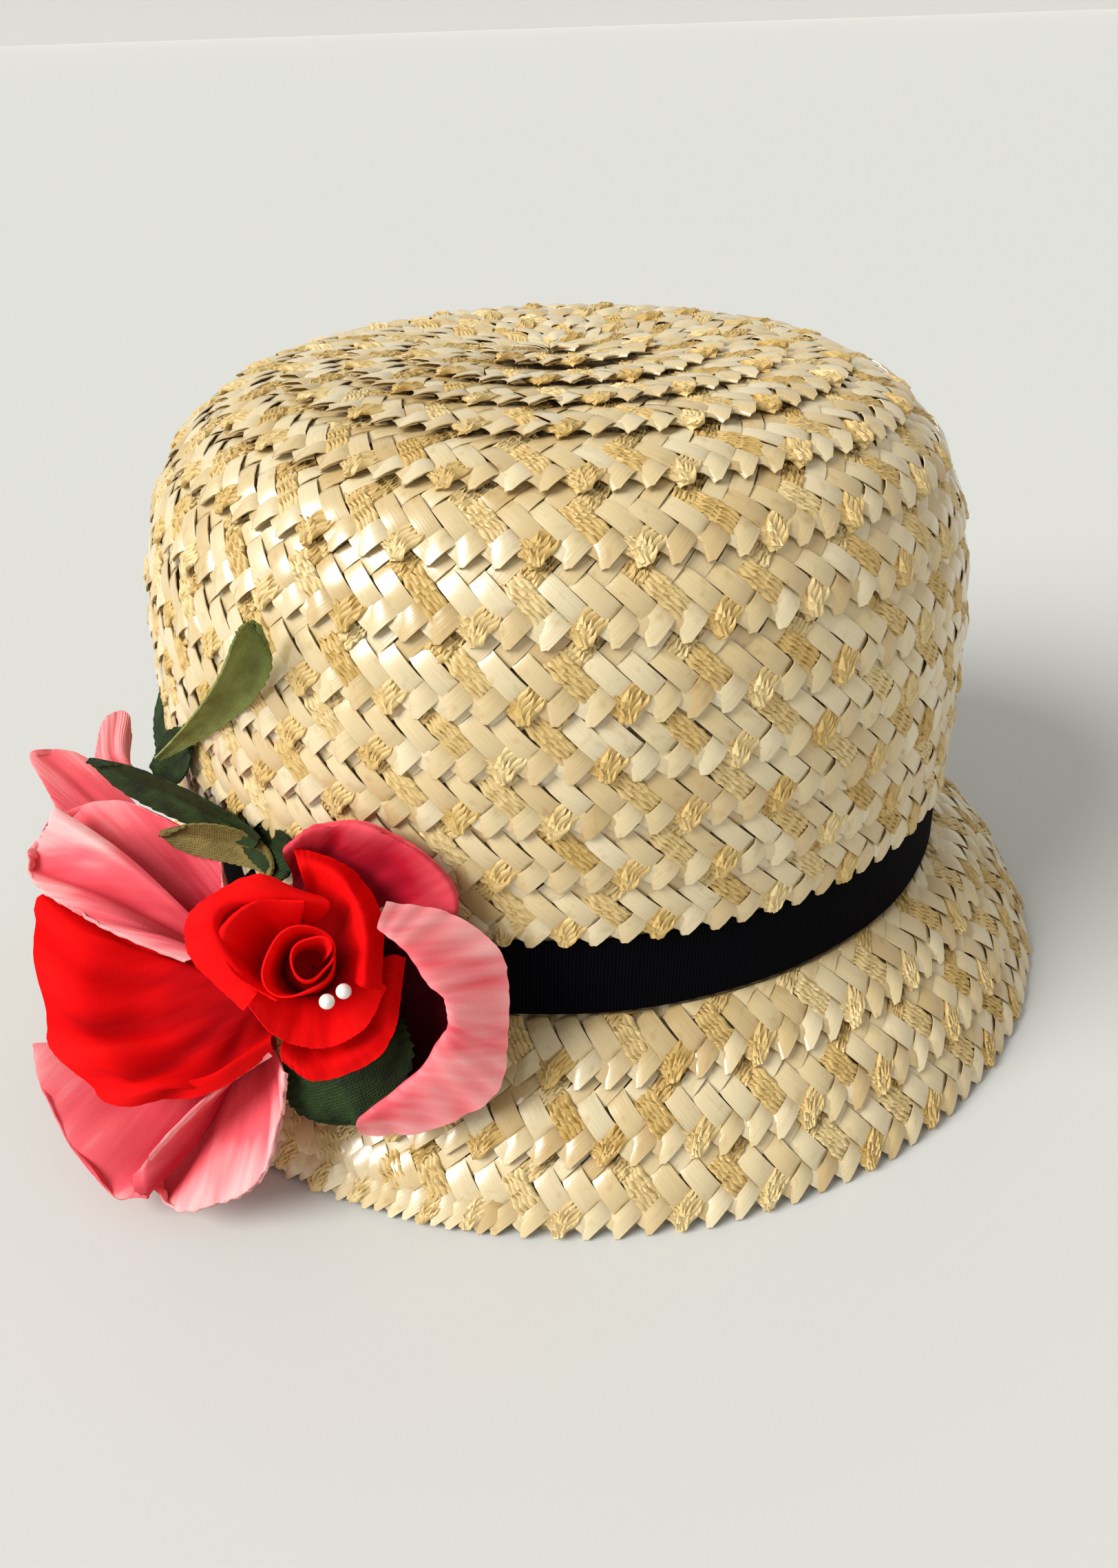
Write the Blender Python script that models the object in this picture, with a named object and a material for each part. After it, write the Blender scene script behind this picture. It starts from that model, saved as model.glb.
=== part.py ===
# Straw bucket hat of sewn braid rows, with a dark ribbon band, two silk roses, leaves and pearl pins
import math
from collections import namedtuple

import bmesh
import bpy
from mathutils import Matrix, Vector

MM = 0.001

# Driving dimensions of the hat
CROWN_HALF_WIDTH = 95.0 * MM
CROWN_HALF_DEPTH = 87.6 * MM
HAT_HEIGHT = 143.4 * MM
DOME_FOOT_HEIGHT = 38.6 * MM
DOME_WIDTH_POWER = 4.96
DOME_HEIGHT_POWER = 4.04
BRIM_HALF_WIDTH = 120.6 * MM
BRIM_HALF_DEPTH = 116.1 * MM
BRIM_TURN = math.radians(-6.9)
BRIM_HEIGHT = 32.0 * MM
BRIM_BULGE = 3.0 * MM
BAND_TOP_HEIGHT = 50.6 * MM
CROWN_CENTRE = Vector((-1.3 * MM, 1.6 * MM, 0.0))

# Straw wall: each row starts thin under the row above it and ends thick at its lower edge
ROW_STEP = 1.2 * MM
WALL = 3.0 * MM
CROWN_ROW_EDGES = [
    length * MM
    for length in (18.8, 34.6, 47.7, 61.1, 76.3, 90.7, 104.3, 118.1, 129.5, 141.0, 153.4)
]
BRIM_ROWS = 3
RIM_WIDTH = 2.4 * MM

# Ribbon
RIBBON_THICKNESS = 1.0 * MM
SEAT_GAP = 0.3 * MM
BAND_TOP_RADIUS = 94.0 * MM
BAND_FOOT_RADIUS = 94.6 * MM

HAT_SEGMENTS = 52
PETAL_THICKNESS = 0.9 * MM
LEAF_THICKNESS = 0.8 * MM

Finish = namedtuple("Finish", "colour roughness")
FINISHES = {
    "straw": Finish((0.78, 0.68, 0.47), 0.45),
    "ribbon": Finish((0.008, 0.009, 0.016), 0.7),
    "red_silk": Finish((0.78, 0.01, 0.015), 0.6),
    "pink_silk": Finish((0.80, 0.11, 0.16), 0.6),
    "leaf_green": Finish((0.10, 0.15, 0.04), 0.6),
    "dark_green": Finish((0.02, 0.035, 0.01), 0.6),
    "stem_brown": Finish((0.30, 0.20, 0.10), 0.7),
    "pearl": Finish((0.90, 0.87, 0.80), 0.2),
}

# Each rose has a base near the band and faces one way
Rose = namedtuple("Rose", "base facing")
ROSES = {
    "front_rose": Rose((-56.0, -81.0, 41.5), (0.327, -0.682, 0.654)),
    "left_rose": Rose((-66.0, -84.5, 37.5), (-0.93, -0.22, 0.29)),
}

# Petals in mm in their rose's frame: (right, up, out) of the root, the tip and both sides at the waist;
# hollow is how far the middle lies behind the sides, foot and end are shares of the waist's width
Petal = namedtuple("Petal", "root tip left right hollow foot end")

# Red petals, fused with the wound heart on one core
RED_PETALS = {
    "front_rose": {
        "inner": Petal((-3.5, 2, -0.5), (-9, 6, 27), (-7, -6, 24), (-1, 12, 25.5), 4, 0.5, 0.8),
        "lip": Petal((1, -4.5, -0.5), (1.5, -13.5, 21), (9.5, -5, 24), (-8.5, -6.5, 23), 5, 0.5, 0.8),
        "right": Petal((4, 2, -0.5), (13, 11.5, 29), (-1, 21, 22.5), (12.5, -8.5, 26.5), 8, 0.4, 0.8),
        "left": Petal(
            (-5, 1, -0.5), (-23, 3.5, 17.5), (-11.5, -16.5, 16.5), (-2.5, 19, 19), 9.5, 0.4, 0.8,
        ),
        "low": Petal((0, -5, -0.5), (0.5, -23.5, 19.5), (17.5, -10, 22), (-14, -14, 19), 10, 0.4, 0.8),
    },
    "left_rose": {
        "far": Petal(
            (-3.5, 2, -0.5), (-24, 11, 40.5), (-24.5, 2.5, 37.5), (-1.5, 18.5, 33), 3, 0.4, 0.8,
        ),
        "near": Petal(
            (4, -2, -0.5), (-8.5, -8.5, 42), (-21.5, 2.5, 36), (14.5, -15.5, 21), 14, 0.4, 0.8,
        ),
    },
}

# Pink petals: a node each, or two fused where they are cut from one piece
PINK_PETALS = {
    "front_rose_pink_top": {
        "whole": Petal((2, 9, -3), (14.5, 23.5, 34.5), (1, 22.5, 19.5), (24.5, 7.6, 33), 4, 0.4, 0.7),
    },
    "front_rose_pink_right": {
        "whole": Petal(
            (8.5, -7.5, 0.5), (30.5, -20.5, 28), (25.5, 2.5, 32.5), (2.5, -34.5, 8), 9, 0.3, 0.8,
        ),
    },
    "left_rose_pink_back": {
        "back": Petal(
            (-17, -2, -1.5), (-64.5, 14.5, 46.5), (-57, 17.5, 25), (-40.5, 9, 33.5), 3, 0.3, 0.5,
        ),
        "top": Petal((-13.5, -2.5, -1.5), (-43, 1, 46), (-49, 11, 29), (-21.5, -1.5, 29), 4, 0.3, 0.5),
    },
    "left_rose_pink_low": {
        "whole": Petal(
            (-3, -14.9, -1.5), (17, -37.9, 20), (-6.5, -31.4, 35), (17.5, -26.9, 7), 6, 0.4, 0.6,
        ),
    },
    "left_rose_pink_near": {
        "whole": Petal(
            (4, -11.2, -1), (26, -29.2, 3.5), (20.5, -26.7, 19.5), (22.5, -14.7, -5), 4, 0.4, 0.6,
        ),
    },
}
PETAL_WAIST = 0.62
PETAL_CORNER = 0.12
PETAL_COLUMNS = 6
PETAL_ROWS = 7

# Leaves and the lone petal behind them, in mm in the hat's frame
LEAVES = {
    "leaf_upright": Petal(
        (-91, -39.5, 62.5), (-56, -74, 115), (-72, -62, 98), (-60, -70, 96.5), 2, 0.2, 0.35,
    ),
    "leaf_long": Petal(
        (-61.5, -71, 64.5), (-107, -37.5, 66.5), (-83.5, -58, 69.5), (-84, -47.5, 60.5), 1, 0.3, 0.2,
    ),
    "leaf_short": Petal(
        (-65, -71, 56.5), (-87, -55, 59), (-72, -63.5, 63.5), (-77, -65, 57.5), 1, 0.3, 0.2,
    ),
    "leaf_under": Petal(
        (-50.5, -80.5, 31.5), (-42, -98, 16.5), (-59, -90.5, 15.5), (-33, -89, 28), 1.5, 0.3, 0.5,
    ),
    "leaf_behind": Petal(
        (-92.5, -28.5, 57.5), (-101, -3.5, 68), (-100.5, -14, 60), (-94.5, -17.5, 66), 1, 0.3, 0.3,
    ),
    "far_petal": Petal(
        (-93.5, -32.5, 49), (-108, -11.5, 64.5), (-111.5, -19, 56.5), (-101.5, -17.5, 61.5), 1.5, 0.4, 0.6,
    ),
}
LEAF_SILK = {"leaf_upright": "leaf_green", "leaf_short": "leaf_green", "far_petal": "pink_silk"}
LEAF_COLUMNS = 4
LEAF_ROWS = 7

# Core that the red petals and the heart are wound on, in mm along the rose's axis
CORE_FOOT = -1.2
CORE_TOP = 14.0
CORE_FOOT_RADIUS = 5.5
Heart = namedtuple("Heart", "turns inner outer wall top drop")
HEARTS = {
    "front_rose": Heart(2.1, 1.8, 5.6, 0.9, 29.0, 3.0),
    "left_rose": Heart(1.4, 1.8, 4.4, 0.9, 24.0, 3.0),
}
HEART_FOOT = -0.5
HEART_FLARE = 1.25
HEART_STEPS_PER_TURN = 11

# Stems as (x, y, z) in mm: wires of the roses and the leaves
Stem = namedtuple("Stem", "thickness route")
STEMS = {
    "front_rose_stem": Stem(2.4, (
        (-56.5, -79.9, 40.4),
        (-57.4, -78.2, 39.0),
        (-58.4, -74.5, 38.2),
        (-58.0, -71.3, 38.2),
        (-56.8, -69.5, 38.2),
    )),
    "left_rose_stem": Stem(2.4, (
        (-63.9, -83.9, 36.8),
        (-62.8, -82.6, 36.4),
        (-63.0, -78.0, 35.8),
        (-62.6, -68.1, 35.4),
        (-61.3, -66.4, 35.4),
    )),
    "leaf_stem": Stem(1.8, (
        (-89.6, -39.0, 61.0),
        (-88.0, -38.8, 58.5),
        (-87.6, -38.6, 52.5),
        (-86.6, -38.2, 49.5),
        (-86.6, -38.1, 45.0),
    )),
}

# Pearl pins in the front rose's frame: where the pin stands and where its bead is, in mm
Pin = namedtuple("Pin", "foot bead")
PINS = {
    "pearl_pin_left": Pin((0.6, -8.0, 20.0), (0.8, -9.2, 25.6)),
    "pearl_pin_right": Pin((4.6, -6.3, 20.5), (5.0, -8.2, 26.4)),
}
PIN_THICKNESS = 0.7
PIN_SIDES = 10
BEAD_DIAMETER = 2.9
BEAD_SECTIONS = 6


def clear_scene():
    for item in list(bpy.data.objects):
        bpy.data.objects.remove(item, do_unlink=True)


def make_material(name):
    finish = FINISHES[name]
    material = bpy.data.materials.new(name)
    material.use_nodes = True
    shader = material.node_tree.nodes["Principled BSDF"]
    shader.inputs["Base Color"].default_value = (*finish.colour, 1.0)
    shader.inputs["Roughness"].default_value = finish.roughness
    shader.inputs["Metallic"].default_value = 0.0
    return material


def material(name):
    return bpy.data.materials.get(name) or make_material(name)


def add_object(name, mesh, finish, parent=None):
    item = bpy.data.objects.new(name, mesh)
    bpy.context.scene.collection.objects.link(item)
    mesh.materials.append(material(finish))
    mesh.shade_smooth()
    mesh.set_sharp_from_angle(angle=math.radians(40))
    item.parent = parent
    return item


def mesh_from(name, points, faces):
    mesh = bpy.data.meshes.new(name)
    mesh.from_pydata(points, [], faces)
    work = bmesh.new()
    work.from_mesh(mesh)
    bmesh.ops.recalc_face_normals(work, faces=work.faces)
    work.to_mesh(mesh)
    work.free()
    return mesh


# Hat shell

def dome_curve(samples=400):
    """Crown outline from its top centre outwards and down: (length along it, radius, height)."""
    curve = [(0.0, 0.0, HAT_HEIGHT)]
    for step in range(1, samples + 1):
        angle = 0.5 * math.pi * step / samples
        radius = CROWN_HALF_WIDTH * math.sin(angle) ** (2.0 / DOME_WIDTH_POWER)
        rise = max(math.cos(angle), 0.0) ** (2.0 / DOME_HEIGHT_POWER)
        height = DOME_FOOT_HEIGHT + (HAT_HEIGHT - DOME_FOOT_HEIGHT) * rise
        length, last_radius, last_height = curve[-1]
        length += math.hypot(radius - last_radius, height - last_height)
        curve.append((length, radius, height))
    return curve


DOME = dome_curve()


def dome_at(length, inset=0.0):
    """Radius and height at a length along the crown outline, moved inwards by inset."""
    for (start, r0, z0), (end, r1, z1) in zip(DOME, DOME[1:]):
        if end >= length:
            break
    share = (length - start) / (end - start)
    run = math.hypot(r1 - r0, z1 - z0)
    radius = r0 + (r1 - r0) * share + inset * (z1 - z0) / run
    height = z0 + (z1 - z0) * share - inset * (r1 - r0) / run
    return max(radius, 0.0), height


def length_at_height(height):
    for length, _, level in DOME[1:]:
        if level <= height:
            return length
    return DOME[-1][0]


def oval_ring(radius_x, radius_y, height, centre, turn=0.0):
    ring = []
    for index in range(HAT_SEGMENTS):
        angle = 2.0 * math.pi * index / HAT_SEGMENTS
        across = radius_x * math.cos(angle)
        along = radius_y * math.sin(angle)
        x = across * math.cos(turn) - along * math.sin(turn)
        y = across * math.sin(turn) + along * math.cos(turn)
        ring.append((centre[0] + x, centre[1] + y, height))
    return ring


def crown_ring(radius, height):
    ratio = CROWN_HALF_DEPTH / CROWN_HALF_WIDTH
    return oval_ring(radius, radius * ratio, height, CROWN_CENTRE)


def ring_mesh(name, rings, closed):
    """Skin a stack of rings; closed joins the last to the first, otherwise the ends are capped."""
    points = [point for ring in rings for point in ring]
    faces = []
    count = len(rings)
    for level in range(count if closed else count - 1):
        low = level * HAT_SEGMENTS
        high = ((level + 1) % count) * HAT_SEGMENTS
        for index in range(HAT_SEGMENTS):
            nxt = (index + 1) % HAT_SEGMENTS
            faces.append((low + index, low + nxt, high + nxt, high + index))
    if not closed:
        faces.append(tuple(range(HAT_SEGMENTS)))
        faces.append(tuple(range((count - 1) * HAT_SEGMENTS, count * HAT_SEGMENTS)))
    return mesh_from(name, points, faces)


def build_crown():
    lip = length_at_height(BAND_TOP_HEIGHT)
    edges = CROWN_ROW_EDGES + [lip]
    outline = [dome_at(0.2 * edges[0])]
    for index, edge in enumerate(edges):
        outline.append(dome_at(edge))
        if edge != lip:
            outline.append(dome_at(edge + 0.3 * MM, ROW_STEP))
    recess = BAND_TOP_RADIUS - RIBBON_THICKNESS - SEAT_GAP
    foot = BAND_FOOT_RADIUS - RIBBON_THICKNESS - SEAT_GAP
    outline.append((recess, BAND_TOP_HEIGHT))
    outline.append((foot, BRIM_HEIGHT))
    outline.append((foot - WALL + ROW_STEP, BRIM_HEIGHT))
    outline.append((recess - WALL + ROW_STEP, BAND_TOP_HEIGHT + WALL))
    inner = [dome_at(0.5 * (low + high), WALL) for low, high in zip(edges, edges[1:])]
    outline.extend(reversed(inner))
    outline.append(dome_at(0.6 * edges[0], WALL))
    mesh = ring_mesh("straw_crown", [crown_ring(*spot) for spot in outline], closed=False)
    return add_object("straw_crown", mesh, "straw")


def brim_ring(radius_share, height):
    """A ring of the brim: share 0 is under the band, 1 is the outer edge."""
    foot_ratio = CROWN_HALF_DEPTH / CROWN_HALF_WIDTH
    radius_x = BAND_FOOT_RADIUS + (BRIM_HALF_WIDTH - BAND_FOOT_RADIUS) * radius_share
    start_y = BAND_FOOT_RADIUS * foot_ratio
    radius_y = start_y + (BRIM_HALF_DEPTH - start_y) * radius_share
    centre = CROWN_CENTRE * (1.0 - radius_share)
    return oval_ring(radius_x, radius_y, height, centre, BRIM_TURN * radius_share)


def build_brim():
    run = BRIM_HALF_WIDTH - BAND_FOOT_RADIUS
    top = BRIM_HEIGHT - SEAT_GAP
    slant = math.hypot(run, top)
    out_r = top / slant
    out_z = run / slant

    def spot(share, depth):
        bulge = BRIM_BULGE * 4.0 * share * (1.0 - share)
        radius = run * share + (bulge - depth) * out_r
        height = top * (1.0 - share) + (bulge - depth) * out_z
        return radius / run, max(height, 0.0)

    outline = [(-0.5 * WALL / run, top), (0.0, top)]
    for row in range(1, BRIM_ROWS + 1):
        share = row / BRIM_ROWS
        outline.append(spot(share - 0.02, 0.0))
        if row < BRIM_ROWS:
            outline.append(spot(share, ROW_STEP))
    outline.append((1.0, 0.0))
    outline.append((1.0 - RIM_WIDTH / run, 0.0))
    for share in (0.75, 0.5, 0.25):
        outline.append(spot(share, WALL))
    outline.append((-0.9 * WALL / run, top - WALL))
    outline.append((-0.9 * WALL / run, top))
    mesh = ring_mesh("straw_brim", [brim_ring(*entry) for entry in outline], closed=True)
    return add_object("straw_brim", mesh, "straw")


def build_band():
    low = BRIM_HEIGHT
    high = BAND_TOP_HEIGHT - SEAT_GAP
    outline = [
        (BAND_FOOT_RADIUS, low),
        (BAND_TOP_RADIUS, high),
        (BAND_TOP_RADIUS - RIBBON_THICKNESS, high),
        (BAND_FOOT_RADIUS - RIBBON_THICKNESS, low),
    ]
    mesh = ring_mesh("hat_band", [crown_ring(*spot) for spot in outline], closed=True)
    return add_object("hat_band", mesh, "ribbon")


# Roses

def facing_matrix(base, facing):
    """Frame of a rose: +Z the way it faces, +Y upwards, +X to the right of someone looking at it."""
    front = Vector(facing).normalized()
    right = Vector((0.0, 0.0, 1.0)).cross(front).normalized()
    up = front.cross(right)
    turn = Matrix((right, up, front)).transposed().to_4x4()
    return Matrix.Translation(Vector(base) * MM) @ turn


def rose_frame(name):
    frame = bpy.data.objects.new(name + "_frame", None)
    bpy.context.scene.collection.objects.link(frame)
    frame.matrix_world = facing_matrix(*ROSES[name])
    return frame


def outline_share(petal, share):
    """Width of a petal at a share of its length, as a share of the width at its waist."""
    if share < PETAL_WAIST:
        return petal.foot + (1.0 - petal.foot) * math.sin(0.5 * math.pi * share / PETAL_WAIST)
    fall = (share - PETAL_WAIST) / (1.0 - PETAL_WAIST)
    return 1.0 - (1.0 - petal.end) * fall ** 2


def petal_grid(petal, columns=PETAL_COLUMNS, rows=PETAL_ROWS):
    """Points of a hollow petal in mm, as rows from root to tip."""
    root, tip, left, right = (Vector(spot) for spot in petal[:4])
    half = (right - left) * 0.5
    hollow_side = half.cross(tip - root).normalized()
    middle = (left + right) * 0.5 - hollow_side * petal.hollow
    rest = 1.0 - PETAL_WAIST
    handle = (middle - root * rest ** 2 - tip * PETAL_WAIST ** 2) / (2.0 * rest * PETAL_WAIST)
    grid = []
    for row in range(rows + 1):
        line = []
        for column in range(columns + 1):
            side = 2.0 * column / columns - 1.0
            width = outline_share(petal, row / rows)
            share = row / rows * (1.0 - PETAL_CORNER * abs(side) ** 3)
            spine = root * (1.0 - share) ** 2 + handle * (2.0 * share * (1.0 - share)) + tip * share ** 2
            line.append(spine + half * (side * width) + hollow_side * (petal.hollow * (side * width) ** 2))
        grid.append(line)
    return grid


def sheet_mesh(name, grid):
    columns = len(grid[0])
    points = [tuple(value * MM for value in point) for line in grid for point in line]
    faces = []
    for row in range(len(grid) - 1):
        for column in range(columns - 1):
            corner = row * columns + column
            faces.append((corner, corner + columns, corner + columns + 1, corner + 1))
    mesh = bpy.data.meshes.new(name)
    mesh.from_pydata(points, [], faces)
    return mesh


def thicken(item, thickness):
    solid = item.modifiers.new("Cloth thickness", "SOLIDIFY")
    solid.thickness = thickness
    solid.offset = 0.0
    solid.use_even_offset = True


def petal_form(name, petal, silk, frame=None):
    item = add_object(name, sheet_mesh(name, petal_grid(petal)), silk, frame)
    thicken(item, PETAL_THICKNESS)
    return item


def fuse(body, piece):
    """Join a piece to a body; the piece itself is only a guide afterwards."""
    union = body.modifiers.new("Join " + piece.name, "BOOLEAN")
    union.operation = "UNION"
    union.solver = "EXACT"
    union.object = piece
    piece.hide_render = True
    piece.display_type = "WIRE"


def heart_reach(heart, share, height):
    """Radius of the wound strip's inner face at a share of its winding and a height."""
    radius = heart.inner + (heart.outer - heart.inner) * share
    top = heart.top - heart.drop * share
    return radius * (1.0 + (HEART_FLARE - 1.0) * max(height, 0.0) / top)


def build_core(rose, frame):
    """Tightly wound solid foot of the heart."""
    heart = HEARTS[rose]
    name = rose + "_red_petals"
    mesh = bpy.data.meshes.new(name)
    work = bmesh.new()
    bmesh.ops.create_cone(
        work,
        cap_ends=True,
        segments=20,
        radius1=CORE_FOOT_RADIUS * MM,
        radius2=(heart_reach(heart, 1.0, CORE_TOP) + heart.wall) * MM,
        depth=(CORE_TOP - CORE_FOOT) * MM,
        matrix=Matrix.Translation((0.0, 0.0, 0.5 * (CORE_TOP + CORE_FOOT) * MM)),
    )
    work.to_mesh(mesh)
    work.free()
    return add_object(name, mesh, "red_silk", frame)


def build_red_petals(rose, frame):
    core = build_core(rose, frame)
    fuse(core, heart_form(rose, frame))
    for name, petal in RED_PETALS[rose].items():
        fuse(core, petal_form(rose + "_" + name + "_form", petal, "red_silk", frame))


def build_pink_petals(node, frame):
    first, *others = PINK_PETALS[node].items()
    body = petal_form(node, first[1], "pink_silk", frame)
    for name, petal in others:
        fuse(body, petal_form(node + "_" + name + "_form", petal, "pink_silk", frame))


def build_leaf(name):
    silk = LEAF_SILK.get(name, "dark_green")
    item = add_object(name, sheet_mesh(name, petal_grid(LEAVES[name], LEAF_COLUMNS, LEAF_ROWS)), silk)
    thicken(item, LEAF_THICKNESS)


def heart_form(rose, frame):
    """Silk strip wound round the axis, its upper edge higher in the middle and opening outwards."""
    heart = HEARTS[rose]
    steps = round(heart.turns * HEART_STEPS_PER_TURN)
    points = []
    for step in range(steps + 1):
        share = step / steps
        angle = 2.0 * math.pi * heart.turns * share
        top = heart.top - heart.drop * share
        foot_reach = heart_reach(heart, share, HEART_FOOT)
        top_reach = heart_reach(heart, share, top)
        for reach, height in (
            (foot_reach, HEART_FOOT),
            (top_reach, top),
            (top_reach + heart.wall, top),
            (foot_reach + heart.wall, HEART_FOOT),
        ):
            points.append((reach * math.cos(angle) * MM, reach * math.sin(angle) * MM, height * MM))
    faces = [(0, 1, 2, 3), tuple(4 * steps + corner for corner in range(4))]
    for step in range(steps):
        for corner in range(4):
            nxt = (corner + 1) % 4
            faces.append((4 * step + corner, 4 * step + nxt, 4 * step + 4 + nxt, 4 * step + 4 + corner))
    name = rose + "_heart_form"
    return add_object(name, mesh_from(name, points, faces), "red_silk", frame)


def build_stem(name):
    stem = STEMS[name]
    curve = bpy.data.curves.new(name, "CURVE")
    curve.dimensions = "3D"
    curve.bevel_depth = 0.5 * stem.thickness * MM
    curve.bevel_resolution = 2
    curve.use_fill_caps = True
    spline = curve.splines.new("POLY")
    spline.points.add(len(stem.route) - 1)
    for point, spot in zip(spline.points, stem.route):
        point.co = (*(Vector(spot) * MM), 1.0)
    curve.materials.append(material("stem_brown"))
    item = bpy.data.objects.new(name, curve)
    bpy.context.scene.collection.objects.link(item)


def build_pin(name, frame):
    """Pin with a bead: a thin stem whose end is fused into the ball."""
    foot, bead = (Vector(spot) * MM for spot in PINS[name])
    reach = bead - foot
    radius = 0.5 * BEAD_DIAMETER * MM
    thin = 0.5 * PIN_THICKNESS * MM
    sections = [(0.0, thin), (reach.length - 0.97 * radius, thin)]
    for step in range(1, BEAD_SECTIONS):
        tilt = math.pi * step / BEAD_SECTIONS
        sections.append((reach.length - radius * math.cos(tilt), radius * math.sin(tilt)))
    points = []
    for level, size in sections:
        for index in range(PIN_SIDES):
            angle = 2.0 * math.pi * index / PIN_SIDES
            points.append((size * math.cos(angle), size * math.sin(angle), level))
    last = (len(sections) - 1) * PIN_SIDES
    faces = [tuple(range(PIN_SIDES)), tuple(range(last, last + PIN_SIDES))]
    for low in range(0, last, PIN_SIDES):
        high = low + PIN_SIDES
        for index in range(PIN_SIDES):
            nxt = (index + 1) % PIN_SIDES
            faces.append((low + index, low + nxt, high + nxt, high + index))
    item = add_object(name, mesh_from(name, points, faces), "pearl", frame)
    item.location = foot
    item.rotation_mode = "QUATERNION"
    item.rotation_quaternion = reach.to_track_quat("Z", "Y")


def main():
    clear_scene()
    build_crown()
    build_brim()
    build_band()
    for rose in ROSES:
        frame = rose_frame(rose)
        build_red_petals(rose, frame)
        for node in PINK_PETALS:
            if node.startswith(rose):
                build_pink_petals(node, frame)
        if rose == "front_rose":
            for name in PINS:
                build_pin(name, frame)
    for name in LEAVES:
        build_leaf(name)
    for name in STEMS:
        build_stem(name)


main()
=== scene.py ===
# Straw bucket hat with a ribbon band, silk roses, leaves and pearl pins: the visual model over the frame
import math
from collections import namedtuple

import bpy
import numpy as np
from mathutils import Matrix, Vector


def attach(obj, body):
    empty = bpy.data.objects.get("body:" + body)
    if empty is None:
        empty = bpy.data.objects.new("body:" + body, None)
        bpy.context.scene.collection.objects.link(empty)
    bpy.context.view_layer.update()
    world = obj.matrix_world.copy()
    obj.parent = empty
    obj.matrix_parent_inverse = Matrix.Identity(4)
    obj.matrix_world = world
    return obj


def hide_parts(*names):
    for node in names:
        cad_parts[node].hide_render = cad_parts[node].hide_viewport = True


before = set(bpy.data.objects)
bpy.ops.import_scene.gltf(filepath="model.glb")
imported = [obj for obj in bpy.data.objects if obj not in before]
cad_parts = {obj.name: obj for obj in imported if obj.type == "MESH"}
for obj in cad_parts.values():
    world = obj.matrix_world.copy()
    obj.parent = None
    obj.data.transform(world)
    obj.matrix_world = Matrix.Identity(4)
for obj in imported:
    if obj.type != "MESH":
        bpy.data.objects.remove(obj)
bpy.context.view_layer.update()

MM = 0.001
SHARP_ANGLE = math.radians(50.0)

# Dimensions of the hat in mm, as in the solids
CROWN_HALF_WIDTH = 95.0
CROWN_HALF_DEPTH = 87.6
CROWN_RATIO = CROWN_HALF_DEPTH / CROWN_HALF_WIDTH
HAT_HEIGHT = 143.4
DOME_FOOT_HEIGHT = 38.6
DOME_WIDTH_POWER = 4.96
DOME_HEIGHT_POWER = 4.04
BRIM_HALF_WIDTH = 120.6
BRIM_HALF_DEPTH = 116.1
BRIM_TURN = math.radians(-6.9)
BRIM_HEIGHT = 32.0
BRIM_BULGE = 3.0
BAND_TOP_HEIGHT = 50.6
BAND_TOP_RADIUS = 94.0
BAND_FOOT_RADIUS = 94.6
SEAT_GAP = 0.3
CROWN_CENTRE = np.array([-1.3, 1.6])

# Braid: strands of flat strips and of twisted cords, laid at 45 degrees in a spiral of overlapping rows
STRAND_PITCH = 6.17
STRAND_KINDS = "SSSBSSB"
CROWN_EDGES = [6.0, 18.8, 34.6, 47.7, 61.1, 76.3, 90.7, 104.3, 118.1, 129.5, 141.0, 153.4, 166.6, 166.6]
BRIM_EDGES = [0.0, 13.7, 27.4, 40.9, 40.9]
ROW_TILT = 0.1
SPIRAL_SAMPLES = 6000
STRIP_THICKNESS = 0.22
STRIP_EDGE_DROP = 0.14
STRIP_ARCH = 0.55
STRIP_WIDTH = 4.3
LEAST_WIDTH_SHARE = 0.95
STRIP_TILT = 0.20
STRIP_WAVER = 0.08
LIP_WAY = np.array([-0.97, -0.24])
LIP_ROLL = ((1.0, -0.55), (0.6, -0.13))
DIVE_LEVEL = -0.25
VARIANTS = 6
CORDS = 5
CORD_SPACING = 0.88
CORD_WIDE = 0.66
CORD_NARROW = 0.42
CORD_TWIST = 3.4
BED_DROP = 0.42

SHELL_INSET = 2.2
SHELL_WALL = 3.0
SHELL_SEGMENTS = 120


# Meshes

def mesh_of_quads(name, points, quads, uv=None, tone=None):
    """Mesh from arrays in mm; uv and tone hold one entry for each point."""
    mesh = bpy.data.meshes.new(name)
    mesh.vertices.add(len(points))
    mesh.vertices.foreach_set("co", (np.asarray(points) * MM).ravel())
    corners = np.asarray(quads, dtype=np.int32).ravel()
    mesh.loops.add(len(corners))
    mesh.loops.foreach_set("vertex_index", corners)
    mesh.polygons.add(len(corners) // 4)
    mesh.polygons.foreach_set("loop_start", np.arange(0, len(corners), 4, dtype=np.int32))
    mesh.update(calc_edges=True)
    mesh.shade_smooth()
    mesh.set_sharp_from_angle(angle=SHARP_ANGLE)
    if uv is not None:
        layer = mesh.uv_layers.new(name="UVMap")
        layer.data.foreach_set("uv", np.asarray(uv)[corners].ravel())
    if tone is not None:
        mesh.attributes.new("tone", "FLOAT", "POINT").data.foreach_set("value", np.asarray(tone))
    return mesh


def add_piece(name, mesh, material, nodes):
    """A piece on the hat's one body that stands for some of the solids."""
    piece = bpy.data.objects.new(name, mesh)
    bpy.context.scene.collection.objects.link(piece)
    mesh.materials.append(material)
    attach(piece, "root")
    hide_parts(*nodes)
    return piece


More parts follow.
